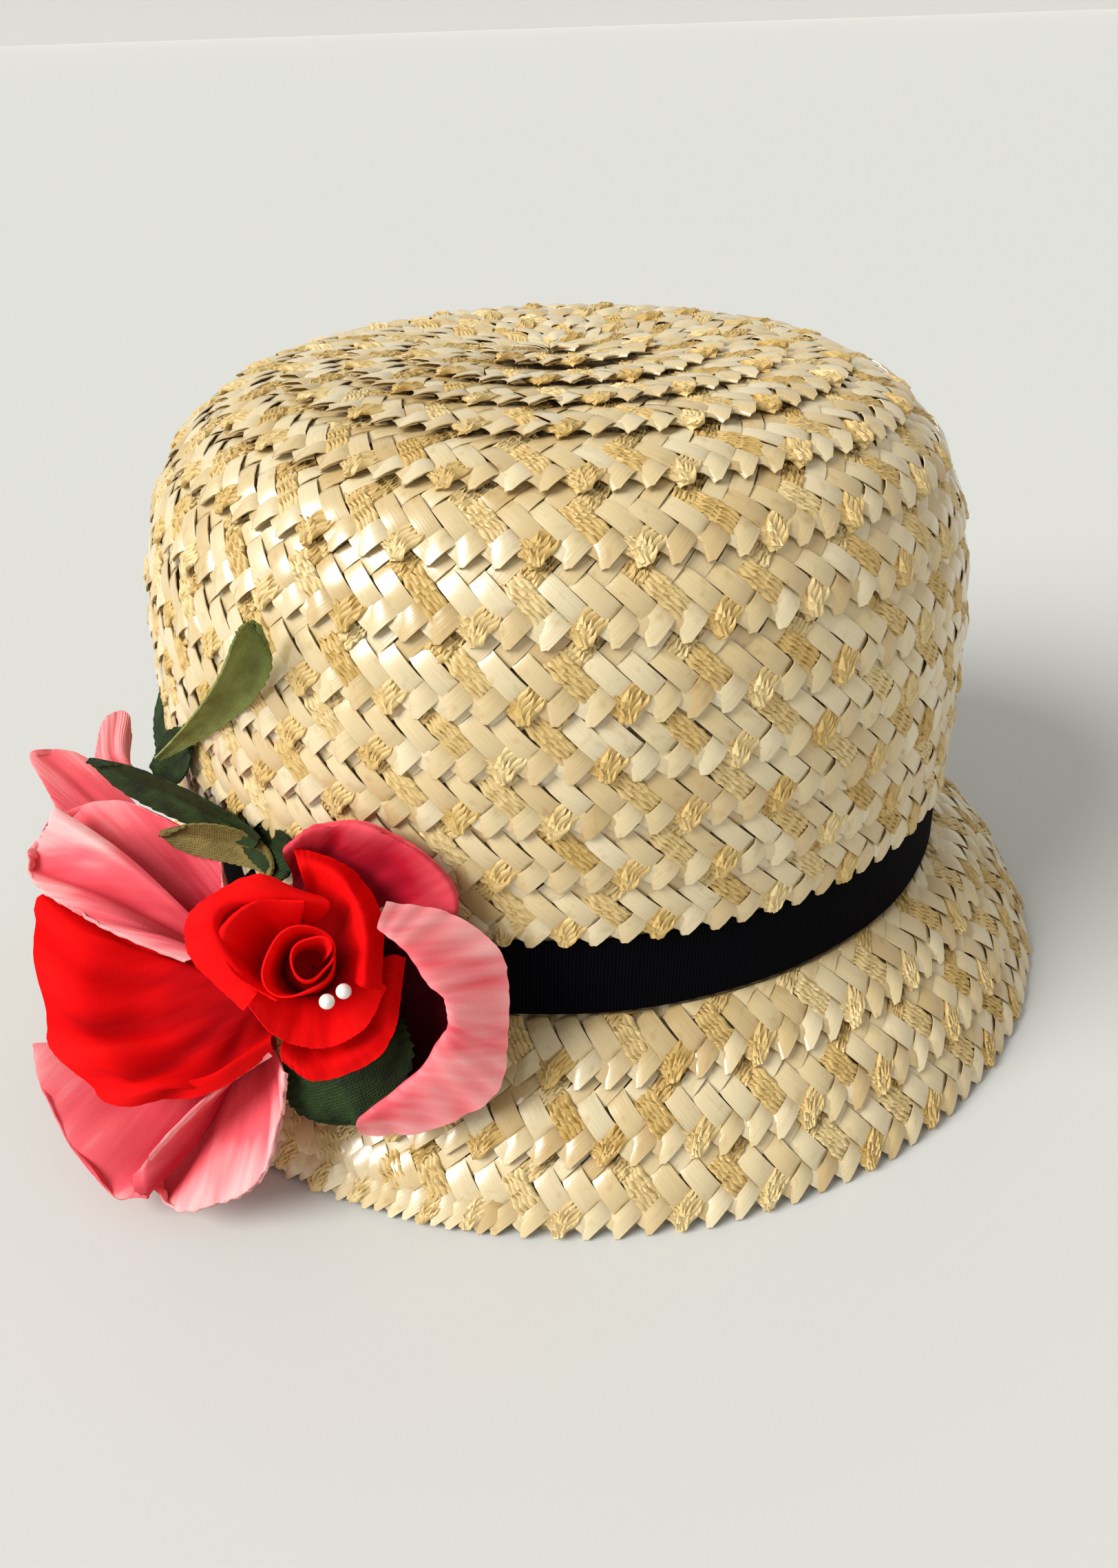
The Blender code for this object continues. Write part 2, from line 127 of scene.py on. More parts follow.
def grid_quads(rows, columns, wrap=False):
    """Quads of a grid of points that is stored row by row."""
    steps = columns if wrap else columns - 1
    row, column = np.meshgrid(np.arange(rows - 1), np.arange(steps), indexing="ij")
    after = (column + 1) % columns
    low = row * columns
    high = low + columns
    return np.stack([low + column, low + after, high + after, high + column], axis=-1).reshape(-1, 4)


def grid_border(rows, columns):
    """Indices round the outside of a grid, in the sense of its quads."""
    bottom = np.arange(columns)
    right = np.arange(1, rows) * columns + columns - 1
    top = (rows - 1) * columns + np.arange(columns - 2, -1, -1)
    left = np.arange(rows - 2, 0, -1) * columns
    return np.concatenate([bottom, right, top, left])


def smooth(value):
    """Soft step from 0 to 1."""
    value = np.clip(value, 0.0, 1.0)
    return value * value * (3.0 - 2.0 * value)


def unit(vectors):
    """Vectors made 1 long."""
    return vectors / np.maximum(np.linalg.norm(vectors, axis=-1, keepdims=True), 1e-9)


def stacked(*values):
    """Points or UVs from one array for each of their values."""
    return np.stack(np.broadcast_arrays(*values), axis=-1)


def full_turn(count):
    """Even angles once round."""
    return 2.0 * math.pi * np.arange(count) / count


def run_length(path):
    """Length along a path at each of its points."""
    return np.concatenate([[0.0], np.cumsum(np.linalg.norm(np.diff(path, axis=0), axis=1))])


# The hat's surface

def dome_curve(samples=400):
    """Crown outline from its top centre outwards and down: lengths along it, radii, heights."""
    angle = 0.5 * math.pi * np.arange(1, samples + 1) / samples
    radius = CROWN_HALF_WIDTH * np.sin(angle) ** (2.0 / DOME_WIDTH_POWER)
    rise = np.maximum(np.cos(angle), 0.0) ** (2.0 / DOME_HEIGHT_POWER)
    radius = np.concatenate([[0.0], radius])
    height = np.concatenate([[HAT_HEIGHT], DOME_FOOT_HEIGHT + (HAT_HEIGHT - DOME_FOOT_HEIGHT) * rise])
    length = np.concatenate([[0.0], np.cumsum(np.hypot(np.diff(radius), np.diff(height)))])
    return length, radius, height


DOME_LENGTH, DOME_RADIUS, DOME_HEIGHT = dome_curve()
DOME_OUT = -np.gradient(DOME_HEIGHT, DOME_LENGTH)
DOME_UP = np.gradient(DOME_RADIUS, DOME_LENGTH)


def dome_spot(length, lift):
    """Radius and height at a length along the crown outline, lift mm outside it."""
    radius = np.interp(length, DOME_LENGTH, DOME_RADIUS) + lift * np.interp(length, DOME_LENGTH, DOME_OUT)
    height = np.interp(length, DOME_LENGTH, DOME_HEIGHT) + lift * np.interp(length, DOME_LENGTH, DOME_UP)
    return radius, height


def crown_point(angle, radius, height):
    x = CROWN_CENTRE[0] + radius * np.cos(angle)
    y = CROWN_CENTRE[1] + radius * CROWN_RATIO * np.sin(angle)
    return stacked(x, y, height)


BRIM_RUN = BRIM_HALF_WIDTH - BAND_FOOT_RADIUS
BRIM_TOP = BRIM_HEIGHT - SEAT_GAP
BRIM_SLANT = math.hypot(BRIM_RUN, BRIM_TOP)


def brim_spot(length, lift):
    """Share of the way to the brim's edge and height, at a length down the slope."""
    share = length / BRIM_SLANT
    bulge = BRIM_BULGE * 4.0 * share * (1.0 - share)
    out = (bulge + lift) / BRIM_SLANT
    height = BRIM_TOP * (1.0 - share) + out * BRIM_RUN
    return share + out * BRIM_TOP / BRIM_RUN, np.maximum(height, 0.02)


def brim_point(angle, share, height):
    start_y = BAND_FOOT_RADIUS * CROWN_RATIO
    across = (BAND_FOOT_RADIUS + BRIM_RUN * share) * np.cos(angle)
    along = (start_y + (BRIM_HALF_DEPTH - start_y) * share) * np.sin(angle)
    turn = BRIM_TURN * share
    x = CROWN_CENTRE[0] * (1.0 - share) + across * np.cos(turn) - along * np.sin(turn)
    y = CROWN_CENTRE[1] * (1.0 - share) + across * np.sin(turn) + along * np.cos(turn)
    return stacked(x, y, height)


# The spiral that the braid is sewn in: turn counts from the front, one for each row

Spiral = namedtuple("Spiral", "turns edges runs")


def wind_spiral(row_edges, radii_at):
    """Length of braid against turns, measured along each row's lower edge."""
    turns = np.linspace(0.0, len(row_edges) - 1.0, SPIRAL_SAMPLES)
    edges = np.interp(turns, np.arange(len(row_edges)), row_edges)
    angle = 2.0 * math.pi * turns - 0.5 * math.pi
    radius_x, radius_y = radii_at(edges)
    pace = 2.0 * math.pi * np.hypot(radius_x * np.sin(angle), radius_y * np.cos(angle))
    steps = 0.5 * (pace[1:] + pace[:-1]) * np.diff(turns)
    return Spiral(turns, edges, np.concatenate([[0.0], np.cumsum(steps)]))


def crown_radii(edges):
    radius = np.interp(edges, DOME_LENGTH, DOME_RADIUS)
    return radius, radius * CROWN_RATIO


def brim_radii(edges):
    share = edges / BRIM_SLANT
    start_y = BAND_FOOT_RADIUS * CROWN_RATIO
    return BAND_FOOT_RADIUS + BRIM_RUN * share, start_y + (BRIM_HALF_DEPTH - start_y) * share


CROWN_SPIRAL = wind_spiral(CROWN_EDGES, crown_radii)
BRIM_SPIRAL = wind_spiral(BRIM_EDGES, brim_radii)

# Near the top the rows' edges curl up a little
CURL_END = 58.0
CURL_HEIGHT = 0.4
CURL_WIDTH = 9.0


def spiral_spot(spiral, run):
    turn = np.interp(run, spiral.runs, spiral.turns)
    edge = np.interp(turn, spiral.turns, spiral.edges)
    return 2.0 * math.pi * turn - 0.5 * math.pi, edge


def place_on_crown(run, rise, lift):
    """Points for places along the braid, up from its lower edge and above the surface, all in mm."""
    angle, edge = spiral_spot(CROWN_SPIRAL, run)
    curl = CURL_HEIGHT * smooth((CURL_END - edge) / 20.0) * smooth(1.0 - rise / CURL_WIDTH)
    curl = curl * (0.65 + 0.35 * np.sin(3.0 * angle + 0.9 * edge))
    length = np.maximum(edge - rise, 0.6)
    radius, height = dome_spot(length, lift + curl - ROW_TILT * rise)
    return crown_point(angle, radius, height)


def place_on_brim(run, rise, lift):
    angle, edge = spiral_spot(BRIM_SPIRAL, run)
    length = np.maximum(edge - rise, 0.4)
    share, height = brim_spot(length, lift - ROW_TILT * rise)
    return brim_point(angle, share, height)


# Parts of one strand, in mm: x along the braid, y up from its lower edge, z out of the surface.
# A strand comes down under its neighbour, folds at a tip of the lower edge and goes up over two others.

Form = namedtuple("Form", "points quads uv")


def lattice(total, difference):
    """Point of the braid where x + y is total and x - y is difference."""
    return np.array([0.5 * (total + difference), 0.5 * (total - difference)])


def strip_form(corners, steps, across, level, start_dive, end_dive, lip, rng):
    """A flat strip between four corners: start left, start right, end right, end left.

    Steps are the shares of its length that have points, level is its height, the dives are the lengths over
    which its ends go under others, and lip is how far its start rolls over at a tip of the braid.
    """
    start_left, start_right, end_right, end_left = (np.asarray(spot, dtype=float) for spot in corners)
    u = np.asarray(steps)[:, None]
    v = np.linspace(0.0, 1.0, across + 1)[None, :]
    width = 0.5 + (v - 0.5) * rng.uniform(LEAST_WIDTH_SHARE, 1.0)
    left = start_left + (end_left - start_left) * u[..., None]
    right = start_right + (end_right - start_right) * u[..., None]
    flat = left + (right - left) * width[..., None]
    length = np.linalg.norm(0.5 * (end_left + end_right - start_left - start_right))
    z = level + STRIP_ARCH * 4.0 * u * (1.0 - u) - STRIP_EDGE_DROP * np.abs(2.0 * v - 1.0) ** 3
    z = z + rng.uniform(-STRIP_TILT, STRIP_TILT) * (2.0 * v - 1.0) + rng.uniform(-STRIP_WAVER, STRIP_WAVER)
    for distance, zone in ((u * length, start_dive), ((1.0 - u) * length, end_dive)):
        if zone:
            share = smooth(1.0 - distance / zone)
            z = z * (1.0 - share) + DIVE_LEVEL * share
    along = u * length + 0.0 * v
    if lip:
        flat[0, -1] += BLUNT_TIP
        flat = np.concatenate([[flat[0] + LIP_WAY * share * lip] for share, _ in LIP_ROLL] + [flat])
        z = np.concatenate([[z[0] + drop] for _, drop in LIP_ROLL] + [z])
        along = np.concatenate([[along[0] - share * lip] for share, _ in LIP_ROLL] + [along])
    rows, columns = z.shape
    points = np.concatenate([flat, z[..., None]], axis=-1).reshape(-1, 3)
    side = (np.linspace(-0.5, 0.5, columns) * STRIP_WIDTH)[None, :] + 0.0 * z
    uv = np.stack([along, side], axis=-1).reshape(-1, 2)
    uv = uv + rng.uniform(0.0, 40.0, 2)
    border = grid_border(rows, columns)
    quads = grid_quads(rows, columns)[:, ::-1]
    count = len(points)
    skirt = points[border] - [0.0, 0.0, STRIP_THICKNESS]
    ring = np.arange(len(border))
    after = (ring + 1) % len(border)
    sides = np.stack([border, border[after], count + after, count + ring], axis=-1)
    return Form(
        np.concatenate([points, skirt]),
        np.concatenate([quads, sides]),
        np.concatenate([uv, uv[border]]),
    )


FOLD_FOOT = (0.0, 0.0)
BLUNT_TIP = (-0.1, 0.4)
FOLD_TOP = (-1.2, 5.0)
HALF_WIDTH = 3.0
CROSSING = 2.0 * STRAND_PITCH - 3.15


def lower_strip(rng):
    """The float that goes up to the right from a tip of the lower edge."""
    lean = rng.uniform(-0.25, 0.25)
    corners = (
        (FOLD_TOP[0] + lean, FOLD_TOP[1]),
        FOLD_FOOT,
        lattice(CROSSING + 1.9, -0.1 + lean),
        lattice(CROSSING + 1.9, -6.1 + lean),
    )
    return strip_form(corners, (0.0, 0.07, 0.3, 0.6, 0.78, 0.9, 1.0), 3, 0.55, 0.0, 2.4, 0.85, rng)


def middle_strip(rng):
    """The float that comes down to the right in the middle of the braid."""
    lean = rng.uniform(-0.2, 0.2)
    corners = (
        lattice(HALF_WIDTH + lean, -4.0 * STRAND_PITCH - 1.9),
        lattice(-HALF_WIDTH + lean, -4.0 * STRAND_PITCH - 1.9),
        lattice(-HALF_WIDTH, -2.0 * STRAND_PITCH + 1.8),
        lattice(HALF_WIDTH, -2.0 * STRAND_PITCH + 1.8),
    )
    return strip_form(corners, (0.0, 0.12, 0.24, 0.5, 0.76, 0.88, 1.0), 3, 0.5, 2.4, 2.4, 0.0, rng)


def notch_strip(rng):
    """The part that shows between two tips, under its neighbour."""
    corners = (
        lattice(5.7, -8.5),
        lattice(-0.6, -8.5),
        (-0.3, 0.7),
        (2.3, 3.4),
    )
    return strip_form(corners, (0.0, 0.5, 1.0), 2, 0.06, 0.0, 0.0, 0.0, rng)


def upper_strip(rng):
    """The float that goes on to the braid's upper edge, mostly hidden by the next row."""
    start = 2.0 * CROSSING + 1.5
    corners = (
        lattice(start, -6.1),
        lattice(start, -0.1),
        (19.0, 19.0),
        (12.8, 19.0),
    )
    return strip_form(corners, (0.0, 0.2, 0.35, 1.0), 2, 0.3, 2.4, 0.0, 0.0, rng)


def spline(knots, segments):
    """Smooth path through knots."""
    knots = np.asarray(knots, dtype=float)
    padded = np.concatenate([[2.0 * knots[0] - knots[1]], knots, [2.0 * knots[-1] - knots[-2]]])
    place = np.linspace(0.0, len(knots) - 1.0, segments + 1)
    first = np.minimum(place.astype(int), len(knots) - 2)
    t = (place - first)[:, None]
    a, b, c, d = (padded[first + offset] for offset in range(4))
    return 0.5 * (
        2.0 * b + (c - a) * t + (2.0 * a - 5.0 * b + 4.0 * c - d) * t ** 2
        + (3.0 * b - a - 3.0 * c + d) * t ** 3
    )


def cord_form(path, sides, rng):
    """Two-ply cord along a path: an oval section that turns as it goes."""
    tangent = unit(np.gradient(path, axis=0))
    side = unit(np.cross(tangent, [0.0, 0.0, 1.0]))
    out = np.cross(side, tangent)
    length = run_length(path)
    twist = math.pi * length / CORD_TWIST + rng.uniform(0.0, math.pi)
    around = full_turn(sides)
    wide = CORD_WIDE * np.cos(around)
    narrow = CORD_NARROW * np.sin(around)
    across = wide * np.cos(twist)[:, None] - narrow * np.sin(twist)[:, None]
    upward = wide * np.sin(twist)[:, None] + narrow * np.cos(twist)[:, None]
    points = path[:, None, :] + side[:, None, :] * across[..., None] + out[:, None, :] * upward[..., None]
    uv = stacked(length[:, None], around[None, :] + twist[:, None])
    quads = grid_quads(len(path), sides, wrap=True)[:, ::-1]
    return Form(points.reshape(-1, 3), quads, uv.reshape(-1, 2))


def join_forms(forms):
    points, quads, uv, count = [], [], [], 0
    for form in forms:
        points.append(form.points)
        quads.append(form.quads + count)
        uv.append(form.uv)
        count += len(form.points)
    return Form(np.concatenate(points), np.concatenate(quads), np.concatenate(uv))


def cord_bundle(knots_of, segments, sides, rng):
    """The cords of one float, side by side."""
    forms = []
    for number in range(CORDS):
        offset = number - 0.5 * (CORDS - 1)
        knots = np.array(knots_of(offset), dtype=float)
        knots[:, :2] += rng.normal(0.0, 0.09, (len(knots), 2))
        knots[:, 2] += rng.normal(0.0, 0.06, len(knots))
        forms.append(cord_form(spline(knots, segments), sides, rng))
    return join_forms(forms)


def bed_under(maker, rng):
    """Flat backing of a float's cords, which closes the gaps between them."""
    form = maker(rng)
    return form._replace(points=form.points - [0.0, 0.0, BED_DROP])


def lower_cords(rng):
    """Cords that come down under their neighbour, loop over at the tip and fan out upwards."""
    fan = CORD_SPACING * math.sqrt(2.0)

    def knots(offset):
        gather = 0.36 * fan * offset
        return (
            (*lattice(2.6 + 0.8 * fan * offset, -8.5), -0.05),
            (*lattice(2.3 + 0.6 * fan * offset, -4.6), 0.0),
            (0.05 + 0.5 * gather, 1.35 + 0.35 * abs(gather), 0.1),
            (0.35 + 0.9 * gather, 0.75 + 0.5 * abs(gather), 0.42),
            (*lattice(3.6, -2.3 + 0.75 * fan * offset), 0.62),
            (*lattice(6.6, -3.0 + fan * offset), 0.6),
            (*lattice(CROSSING, -3.1 + fan * offset), 0.2),
            (*lattice(CROSSING + 2.0, -3.1 + fan * offset), -0.3),
        )

    return join_forms([cord_bundle(knots, 16, 6, rng), bed_under(lower_strip, rng)])


def middle_cords(rng):
    spread = CORD_SPACING * math.sqrt(2.0)

    def knots(offset):
        return (
            (*lattice(spread * offset, -4.0 * STRAND_PITCH - 1.9), -0.3),
            (*lattice(spread * offset, -4.0 * STRAND_PITCH + 1.2), 0.32),
            (*lattice(spread * offset, -3.45 * STRAND_PITCH), 0.5),
            (*lattice(spread * offset, -2.7 * STRAND_PITCH), 0.5),
            (*lattice(spread * offset, -2.0 * STRAND_PITCH - 1.2), 0.32),
            (*lattice(spread * offset, -2.0 * STRAND_PITCH + 1.8), -0.3),
        )

    return join_forms([cord_bundle(knots, 14, 6, rng), bed_under(middle_strip, rng)])


def upper_cords(rng):
    spread = CORD_SPACING * math.sqrt(2.0)
    start = 2.0 * CROSSING + 1.5

    def knots(offset):
        return (
            (*lattice(start, -3.1 + spread * offset), -0.3),
            (*lattice(start + 3.0, -3.1 + spread * offset), 0.25),
            (*lattice(34.0, -3.1 + spread * offset), 0.3),
        )

    return join_forms([cord_bundle(knots, 8, 6, rng), bed_under(upper_strip, rng)])


# How far, in mm, the braid goes on under the row above, and how far its strands stray each way
ROW_OVERLAP = 3.5
STRAY = (0.12, 0.12, 0.05)


def lay_forms(spiral, place, kind, makers, lowest, rng):
    """Repeat one kind of strand along the whole braid, leaving out what the row above hides.

    Lowest is the least length down the surface at which the middle of a strand's part may lie.
    """
    count = int(spiral.runs[-1] / STRAND_PITCH)
    strands = [number for number in range(count) if STRAND_KINDS[number % len(STRAND_KINDS)] == kind]
    starts = np.array(strands) * STRAND_PITCH
    turns = np.interp(starts, spiral.runs, spiral.turns)
    edges = np.interp(turns, spiral.turns, spiral.edges)
    above = np.where(turns > 1.0, np.interp(turns - 1.0, spiral.turns, spiral.edges), -math.inf)
    shown = edges - above + ROW_OVERLAP
    points, quads, uv, tone, total = [], [], [], [], 0
    for maker in makers:
        forms = [maker(rng) for _ in range(VARIANTS)]
        middle = forms[0].points[:, 1].mean()
        bottom = forms[0].points[:, 1].min()
        usable = (edges - middle > lowest) & (bottom < shown)
        picks = rng.integers(0, VARIANTS, len(starts))
        for number, form in enumerate(forms):
            begin = starts[usable & (picks == number)]
            if not len(begin):
                continue
            spots = np.repeat(form.points[None], len(begin), axis=0)
            spots[:, :, 0] += begin[:, None]
            for axis, stray in enumerate(STRAY):
                spots[:, :, axis] += rng.normal(0.0, stray, len(begin))[:, None]
            flat = spots.reshape(-1, 3)
            points.append(place(flat[:, 0], flat[:, 1], flat[:, 2]))
            size = len(form.points)
            shift = total + size * np.arange(len(begin))
            quads.append((form.quads[None] + shift[:, None, None]).reshape(-1, 4))
            uv.append((form.uv[None] + rng.uniform(0.0, 60.0, (len(begin), 1, 2))).reshape(-1, 2))
            tone.append(np.repeat(rng.uniform(0.0, 1.0, len(begin)), size))
            total += size * len(begin)
    return np.concatenate(points), np.concatenate(quads), np.concatenate(uv), np.concatenate(tone)


# Materials

def new_material(name, colour, roughness, settings=None):
    """Principled material; settings are more of its sockets."""
    material = bpy.data.materials.new(name)
    material.use_nodes = True
    shader = material.node_tree.nodes["Principled BSDF"]
    shader.inputs["Base Color"].default_value = (*colour, 1.0)
    shader.inputs["Roughness"].default_value = roughness
    for socket, value in (settings or {}).items():
        shader.inputs[socket].default_value = value
    return material


def shader_of(material):
    return material.node_tree.nodes["Principled BSDF"]


def add_node(material, kind, **sockets):
    item = material.node_tree.nodes.new(kind)
    for name, value in sockets.items():
        item.inputs[name].default_value = value
    return item


def link(material, source, target):
    material.node_tree.links.new(source, target)


def uv_noise(material, scale_along, scale_across, detail=3.0):
    """Noise stretched along a strip, from its UVs in mm."""
    place = add_node(material, "ShaderNodeUVMap")
    stretch = add_node(material, "ShaderNodeMapping")
    stretch.inputs["Scale"].default_value = (scale_along, scale_across, 1.0)
    noise = add_node(material, "ShaderNodeTexNoise", Scale=1.0, Detail=detail)
    link(material, place.outputs["UV"], stretch.inputs["Vector"])
    link(material, stretch.outputs["Vector"], noise.inputs["Vector"])
    return noise.outputs["Fac"]


def object_noise(material, scale, detail=3.0):
    """Noise in the hat's own space; scale counts features in a metre."""
    place = add_node(material, "ShaderNodeTexCoord")
    noise = add_node(material, "ShaderNodeTexNoise", Scale=scale, Detail=detail)
    link(material, place.outputs["Object"], noise.inputs["Vector"])
    return noise.outputs["Fac"]


def uv_waves(material, per_unit, axis):
    """Even ribs across the UVs; axis is 0 for ribs along u and 1 for ribs along v."""
    place = add_node(material, "ShaderNodeUVMap")
    split = add_node(material, "ShaderNodeSeparateXYZ")
    link(material, place.outputs["UV"], split.inputs["Vector"])
    angle = add_node(material, "ShaderNodeMath")
    angle.operation = "MULTIPLY"
    angle.inputs[1].default_value = 2.0 * math.pi * per_unit
    link(material, split.outputs[axis], angle.inputs[0])
    wave = add_node(material, "ShaderNodeMath")
    wave.operation = "SINE"
    link(material, angle.outputs["Value"], wave.inputs[0])
    return wave.outputs["Value"]


def blend_values(material, operation, first, second):
    """Two values, or a value and a number, added or multiplied."""
    item = add_node(material, "ShaderNodeMath")
    item.operation = operation
    for socket, value in zip(item.inputs, (first, second)):
        if isinstance(value, float):
            socket.default_value = value
        else:
            link(material, value, socket)
    return item.outputs["Value"]


def colour_ramp(material, value, stops):
    """Colours at places from 0 to 1."""
    ramp = add_node(material, "ShaderNodeValToRGB")
    marks = ramp.color_ramp.elements
    while len(marks) < len(stops):
        marks.new(0.5)
    for mark, (place, colour) in zip(marks, stops):
        mark.position = place
        mark.color = (*colour, 1.0)
    link(material, value, ramp.inputs["Fac"])
    return ramp.outputs["Color"]


def multiply_colours(material, first, second, share=1.0):
    mix = add_node(material, "ShaderNodeMix")
    mix.data_type = "RGBA"
    mix.blend_type = "MULTIPLY"
    mix.inputs["Factor"].default_value = share
    link(material, first, mix.inputs["A"])
    link(material, second, mix.inputs["B"])
    return mix.outputs["Result"]


def paint(material, colour):
    link(material, colour, shader_of(material).inputs["Base Color"])


def emboss(material, value, depth):
    """Bump of a depth in metres."""
    bump = add_node(material, "ShaderNodeBump", Strength=1.0, Distance=depth)
    link(material, value, bump.inputs["Height"])
    link(material, bump.outputs["Normal"], shader_of(material).inputs["Normal"])


def tone_of(material):
    place = add_node(material, "ShaderNodeAttribute")
    place.attribute_name = "tone"
    return place.outputs["Fac"]


def strip_material():
    material = new_material("straw_strips", (0.68, 0.57, 0.34), 0.34, {
        "Specular IOR Level": 0.9,
        "Coat Weight": 0.8,
        "Coat Roughness": 0.18,
    })
    streaks = uv_noise(material, 0.10, 3.2, 4.0)
    tones = colour_ramp(material, tone_of(material), [
        (0.0, (0.58, 0.41, 0.17)),
        (0.15, (0.65, 0.49, 0.24)),
        (0.5, (0.71, 0.57, 0.31)),
        (1.0, (0.77, 0.66, 0.43)),
    ])
    grain = colour_ramp(material, streaks, [(0.3, (0.92, 0.89, 0.82)), (0.62, (1.0, 1.0, 1.0))])
    stains = colour_ramp(material, uv_noise(material, 0.35, 0.35, 2.0), [
        (0.28, (0.80, 0.70, 0.52)),
        (0.42, (1.0, 1.0, 1.0)),
    ])
    paint(material, multiply_colours(material, multiply_colours(material, tones, grain), stains, 0.6))
    emboss(material, streaks, 0.00006)
    return material


def cord_material():
    material = new_material("straw_cords", (0.72, 0.58, 0.34), 0.45, {"Specular IOR Level": 0.5})
    fibres = uv_noise(material, 0.6, 0.8, 2.0)
    tones = colour_ramp(material, tone_of(material), [
        (0.0, (0.60, 0.41, 0.13)),
        (0.4, (0.69, 0.50, 0.20)),
        (1.0, (0.77, 0.62, 0.32)),
    ])
    grain = colour_ramp(material, fibres, [(0.3, (0.86, 0.80, 0.68)), (0.6, (1.0, 1.0, 1.0))])
    paint(material, multiply_colours(material, tones, grain))
    emboss(material, fibres, 0.00005)
    return material


def shell_material():
    """Back of the braid: the same plait, seen from inside and through the gaps, with painted shade in the
    plait's hollows and painted light on its raised parts.
    """
    material = new_material("straw_back", (0.40, 0.28, 0.13), 0.6)
    first = uv_waves(material, 0.23, 0)
    second = uv_waves(material, 0.23, 1)
    plait = blend_values(material, "MULTIPLY", first, second)
    fibres = uv_noise(material, 1.2, 1.2, 4.0)
    relief = blend_values(material, "ADD", plait, fibres)
    # Painted shade and light: the colour follows the plait's relief, darker in its hollows and lighter where
    # it stands up.
    paint(material, colour_ramp(material, relief, [
        (0.0, (0.34, 0.24, 0.11)),
        (0.45, (0.55, 0.43, 0.24)),
        (1.0, (0.66, 0.54, 0.34)),
    ]))
    emboss(material, relief, 0.0004)
    return material


def ribbon_material():
    """Grosgrain: fine ribs across the ribbon, 14 in 10 mm, with painted shade in the grooves and painted
    light on the crests.
    """
    material = new_material("ribbon_grosgrain", (0.002, 0.002, 0.004), 0.8, {"Specular IOR Level": 0.04})
    ribs = uv_waves(material, 1.4, 0)
    weave = uv_noise(material, 6.0, 9.0, 2.0)
    # Painted shade and light: the near-black colour follows the ribs, darker in their grooves and lighter on
    # their crests.
    paint(material, colour_ramp(material, blend_values(material, "ADD", ribs, weave), [
        (0.0, (0.0004, 0.0004, 0.001)),
        (1.0, (0.0025, 0.0025, 0.005)),
    ]))
    emboss(material, blend_values(material, "ADD", ribs, weave), 0.00012)
    return material


def silk_material(name, deep, mid, light):
    """Stiffened silk: a fine weave, soft creases with painted shade in them, a little unevenness of the dye,
    and painted shade and light from each point's tone.
    """
    material = new_material(name, mid, 0.75, {"Specular IOR Level": 0.05})
    creases = uv_noise(material, 0.04, 0.30, 2.0)
    blotches = uv_noise(material, 0.07, 0.07, 1.0)
    # Painted shade in the soft creases, darker where the crease noise sinks the bump, with uneven dye from
    # the blotches.
    crease_shade_and_uneven_dye = blend_values(material, "MULTIPLY", blend_values(material, "ADD", creases, blotches), 0.3)
    mixed = blend_values(material, "ADD", tone_of(material), crease_shade_and_uneven_dye)
    # The darkest stop is a painted shadow colour for the deepest painted shade.
    shadow = tuple(0.12 * value for value in deep)
    paint(material, colour_ramp(material, mixed, [(0.0, shadow), (0.3, deep), (0.75, mid), (1.0, light)]))
    threads = blend_values(material, "ADD", uv_waves(material, 3.1, 0), uv_waves(material, 3.1, 1))
    fine = blend_values(material, "MULTIPLY", threads, 0.06)
    emboss(material, blend_values(material, "ADD", creases, fine), 0.00025)
    return material


def leaf_material(name, deep, light):
    """Waxed cloth leaf with veins that run out from the middle to the teeth."""
    material = new_material(name, light, 0.6, {"Specular IOR Level": 0.2})
    cloth = uv_noise(material, 1.4, 1.4, 3.0)
    patches = uv_noise(material, 0.12, 0.2, 2.0)
    paint(material, colour_ramp(material, patches, [(0.3, deep), (0.7, light)]))
    threads = blend_values(material, "ADD", uv_waves(material, 1.6, 0), uv_waves(material, 1.6, 1))
    fine = blend_values(material, "MULTIPLY", threads, 0.12)
    emboss(material, blend_values(material, "ADD", cloth, fine), 0.00025)
    return material


def stem_material():
    material = new_material("stem_paper", (0.36, 0.24, 0.11), 0.7)
    fibres = uv_noise(material, 1.5, 0.8, 3.0)
    paint(material, colour_ramp(material, fibres, [(0.3, (0.26, 0.16, 0.07)), (0.7, (0.50, 0.36, 0.18))]))
    emboss(material, fibres, 0.0002)
    return material


def pearl_material():
    material = new_material("pearl_bead", (0.92, 0.90, 0.85), 0.16, {
        "Coat Weight": 0.6,
        "Coat Roughness": 0.08,
        "Specular IOR Level": 0.6,
    })
    clouds = object_noise(material, 900.0, 2.0)
    paint(material, colour_ramp(material, clouds, [(0.3, (0.84, 0.82, 0.80)), (0.7, (0.96, 0.94, 0.89))]))
    return material


# Straw pieces

def add_braid():
    strips = strip_material()
    cords = cord_material()
    rng = np.random.default_rng(11)
    strip_makers = (lower_strip, middle_strip, notch_strip, upper_strip)
    cord_makers = (lower_cords, middle_cords, upper_cords)
    for node, spiral, place, lowest in (
        ("straw_crown", CROWN_SPIRAL, place_on_crown, 1.5),
        ("straw_brim", BRIM_SPIRAL, place_on_brim, -0.5),
    ):
        parts = lay_forms(spiral, place, "S", strip_makers, lowest, rng)
        add_piece(node + "_strips", mesh_of_quads(node + "_strips", *parts), strips, [node])
        for maker, label in zip(cord_makers, ("lower", "middle", "upper")):
            parts = lay_forms(spiral, place, "B", [maker], lowest, rng)
            name = f"{node}_cords_{label}"
            add_piece(name, mesh_of_quads(name, *parts), cords, [node])


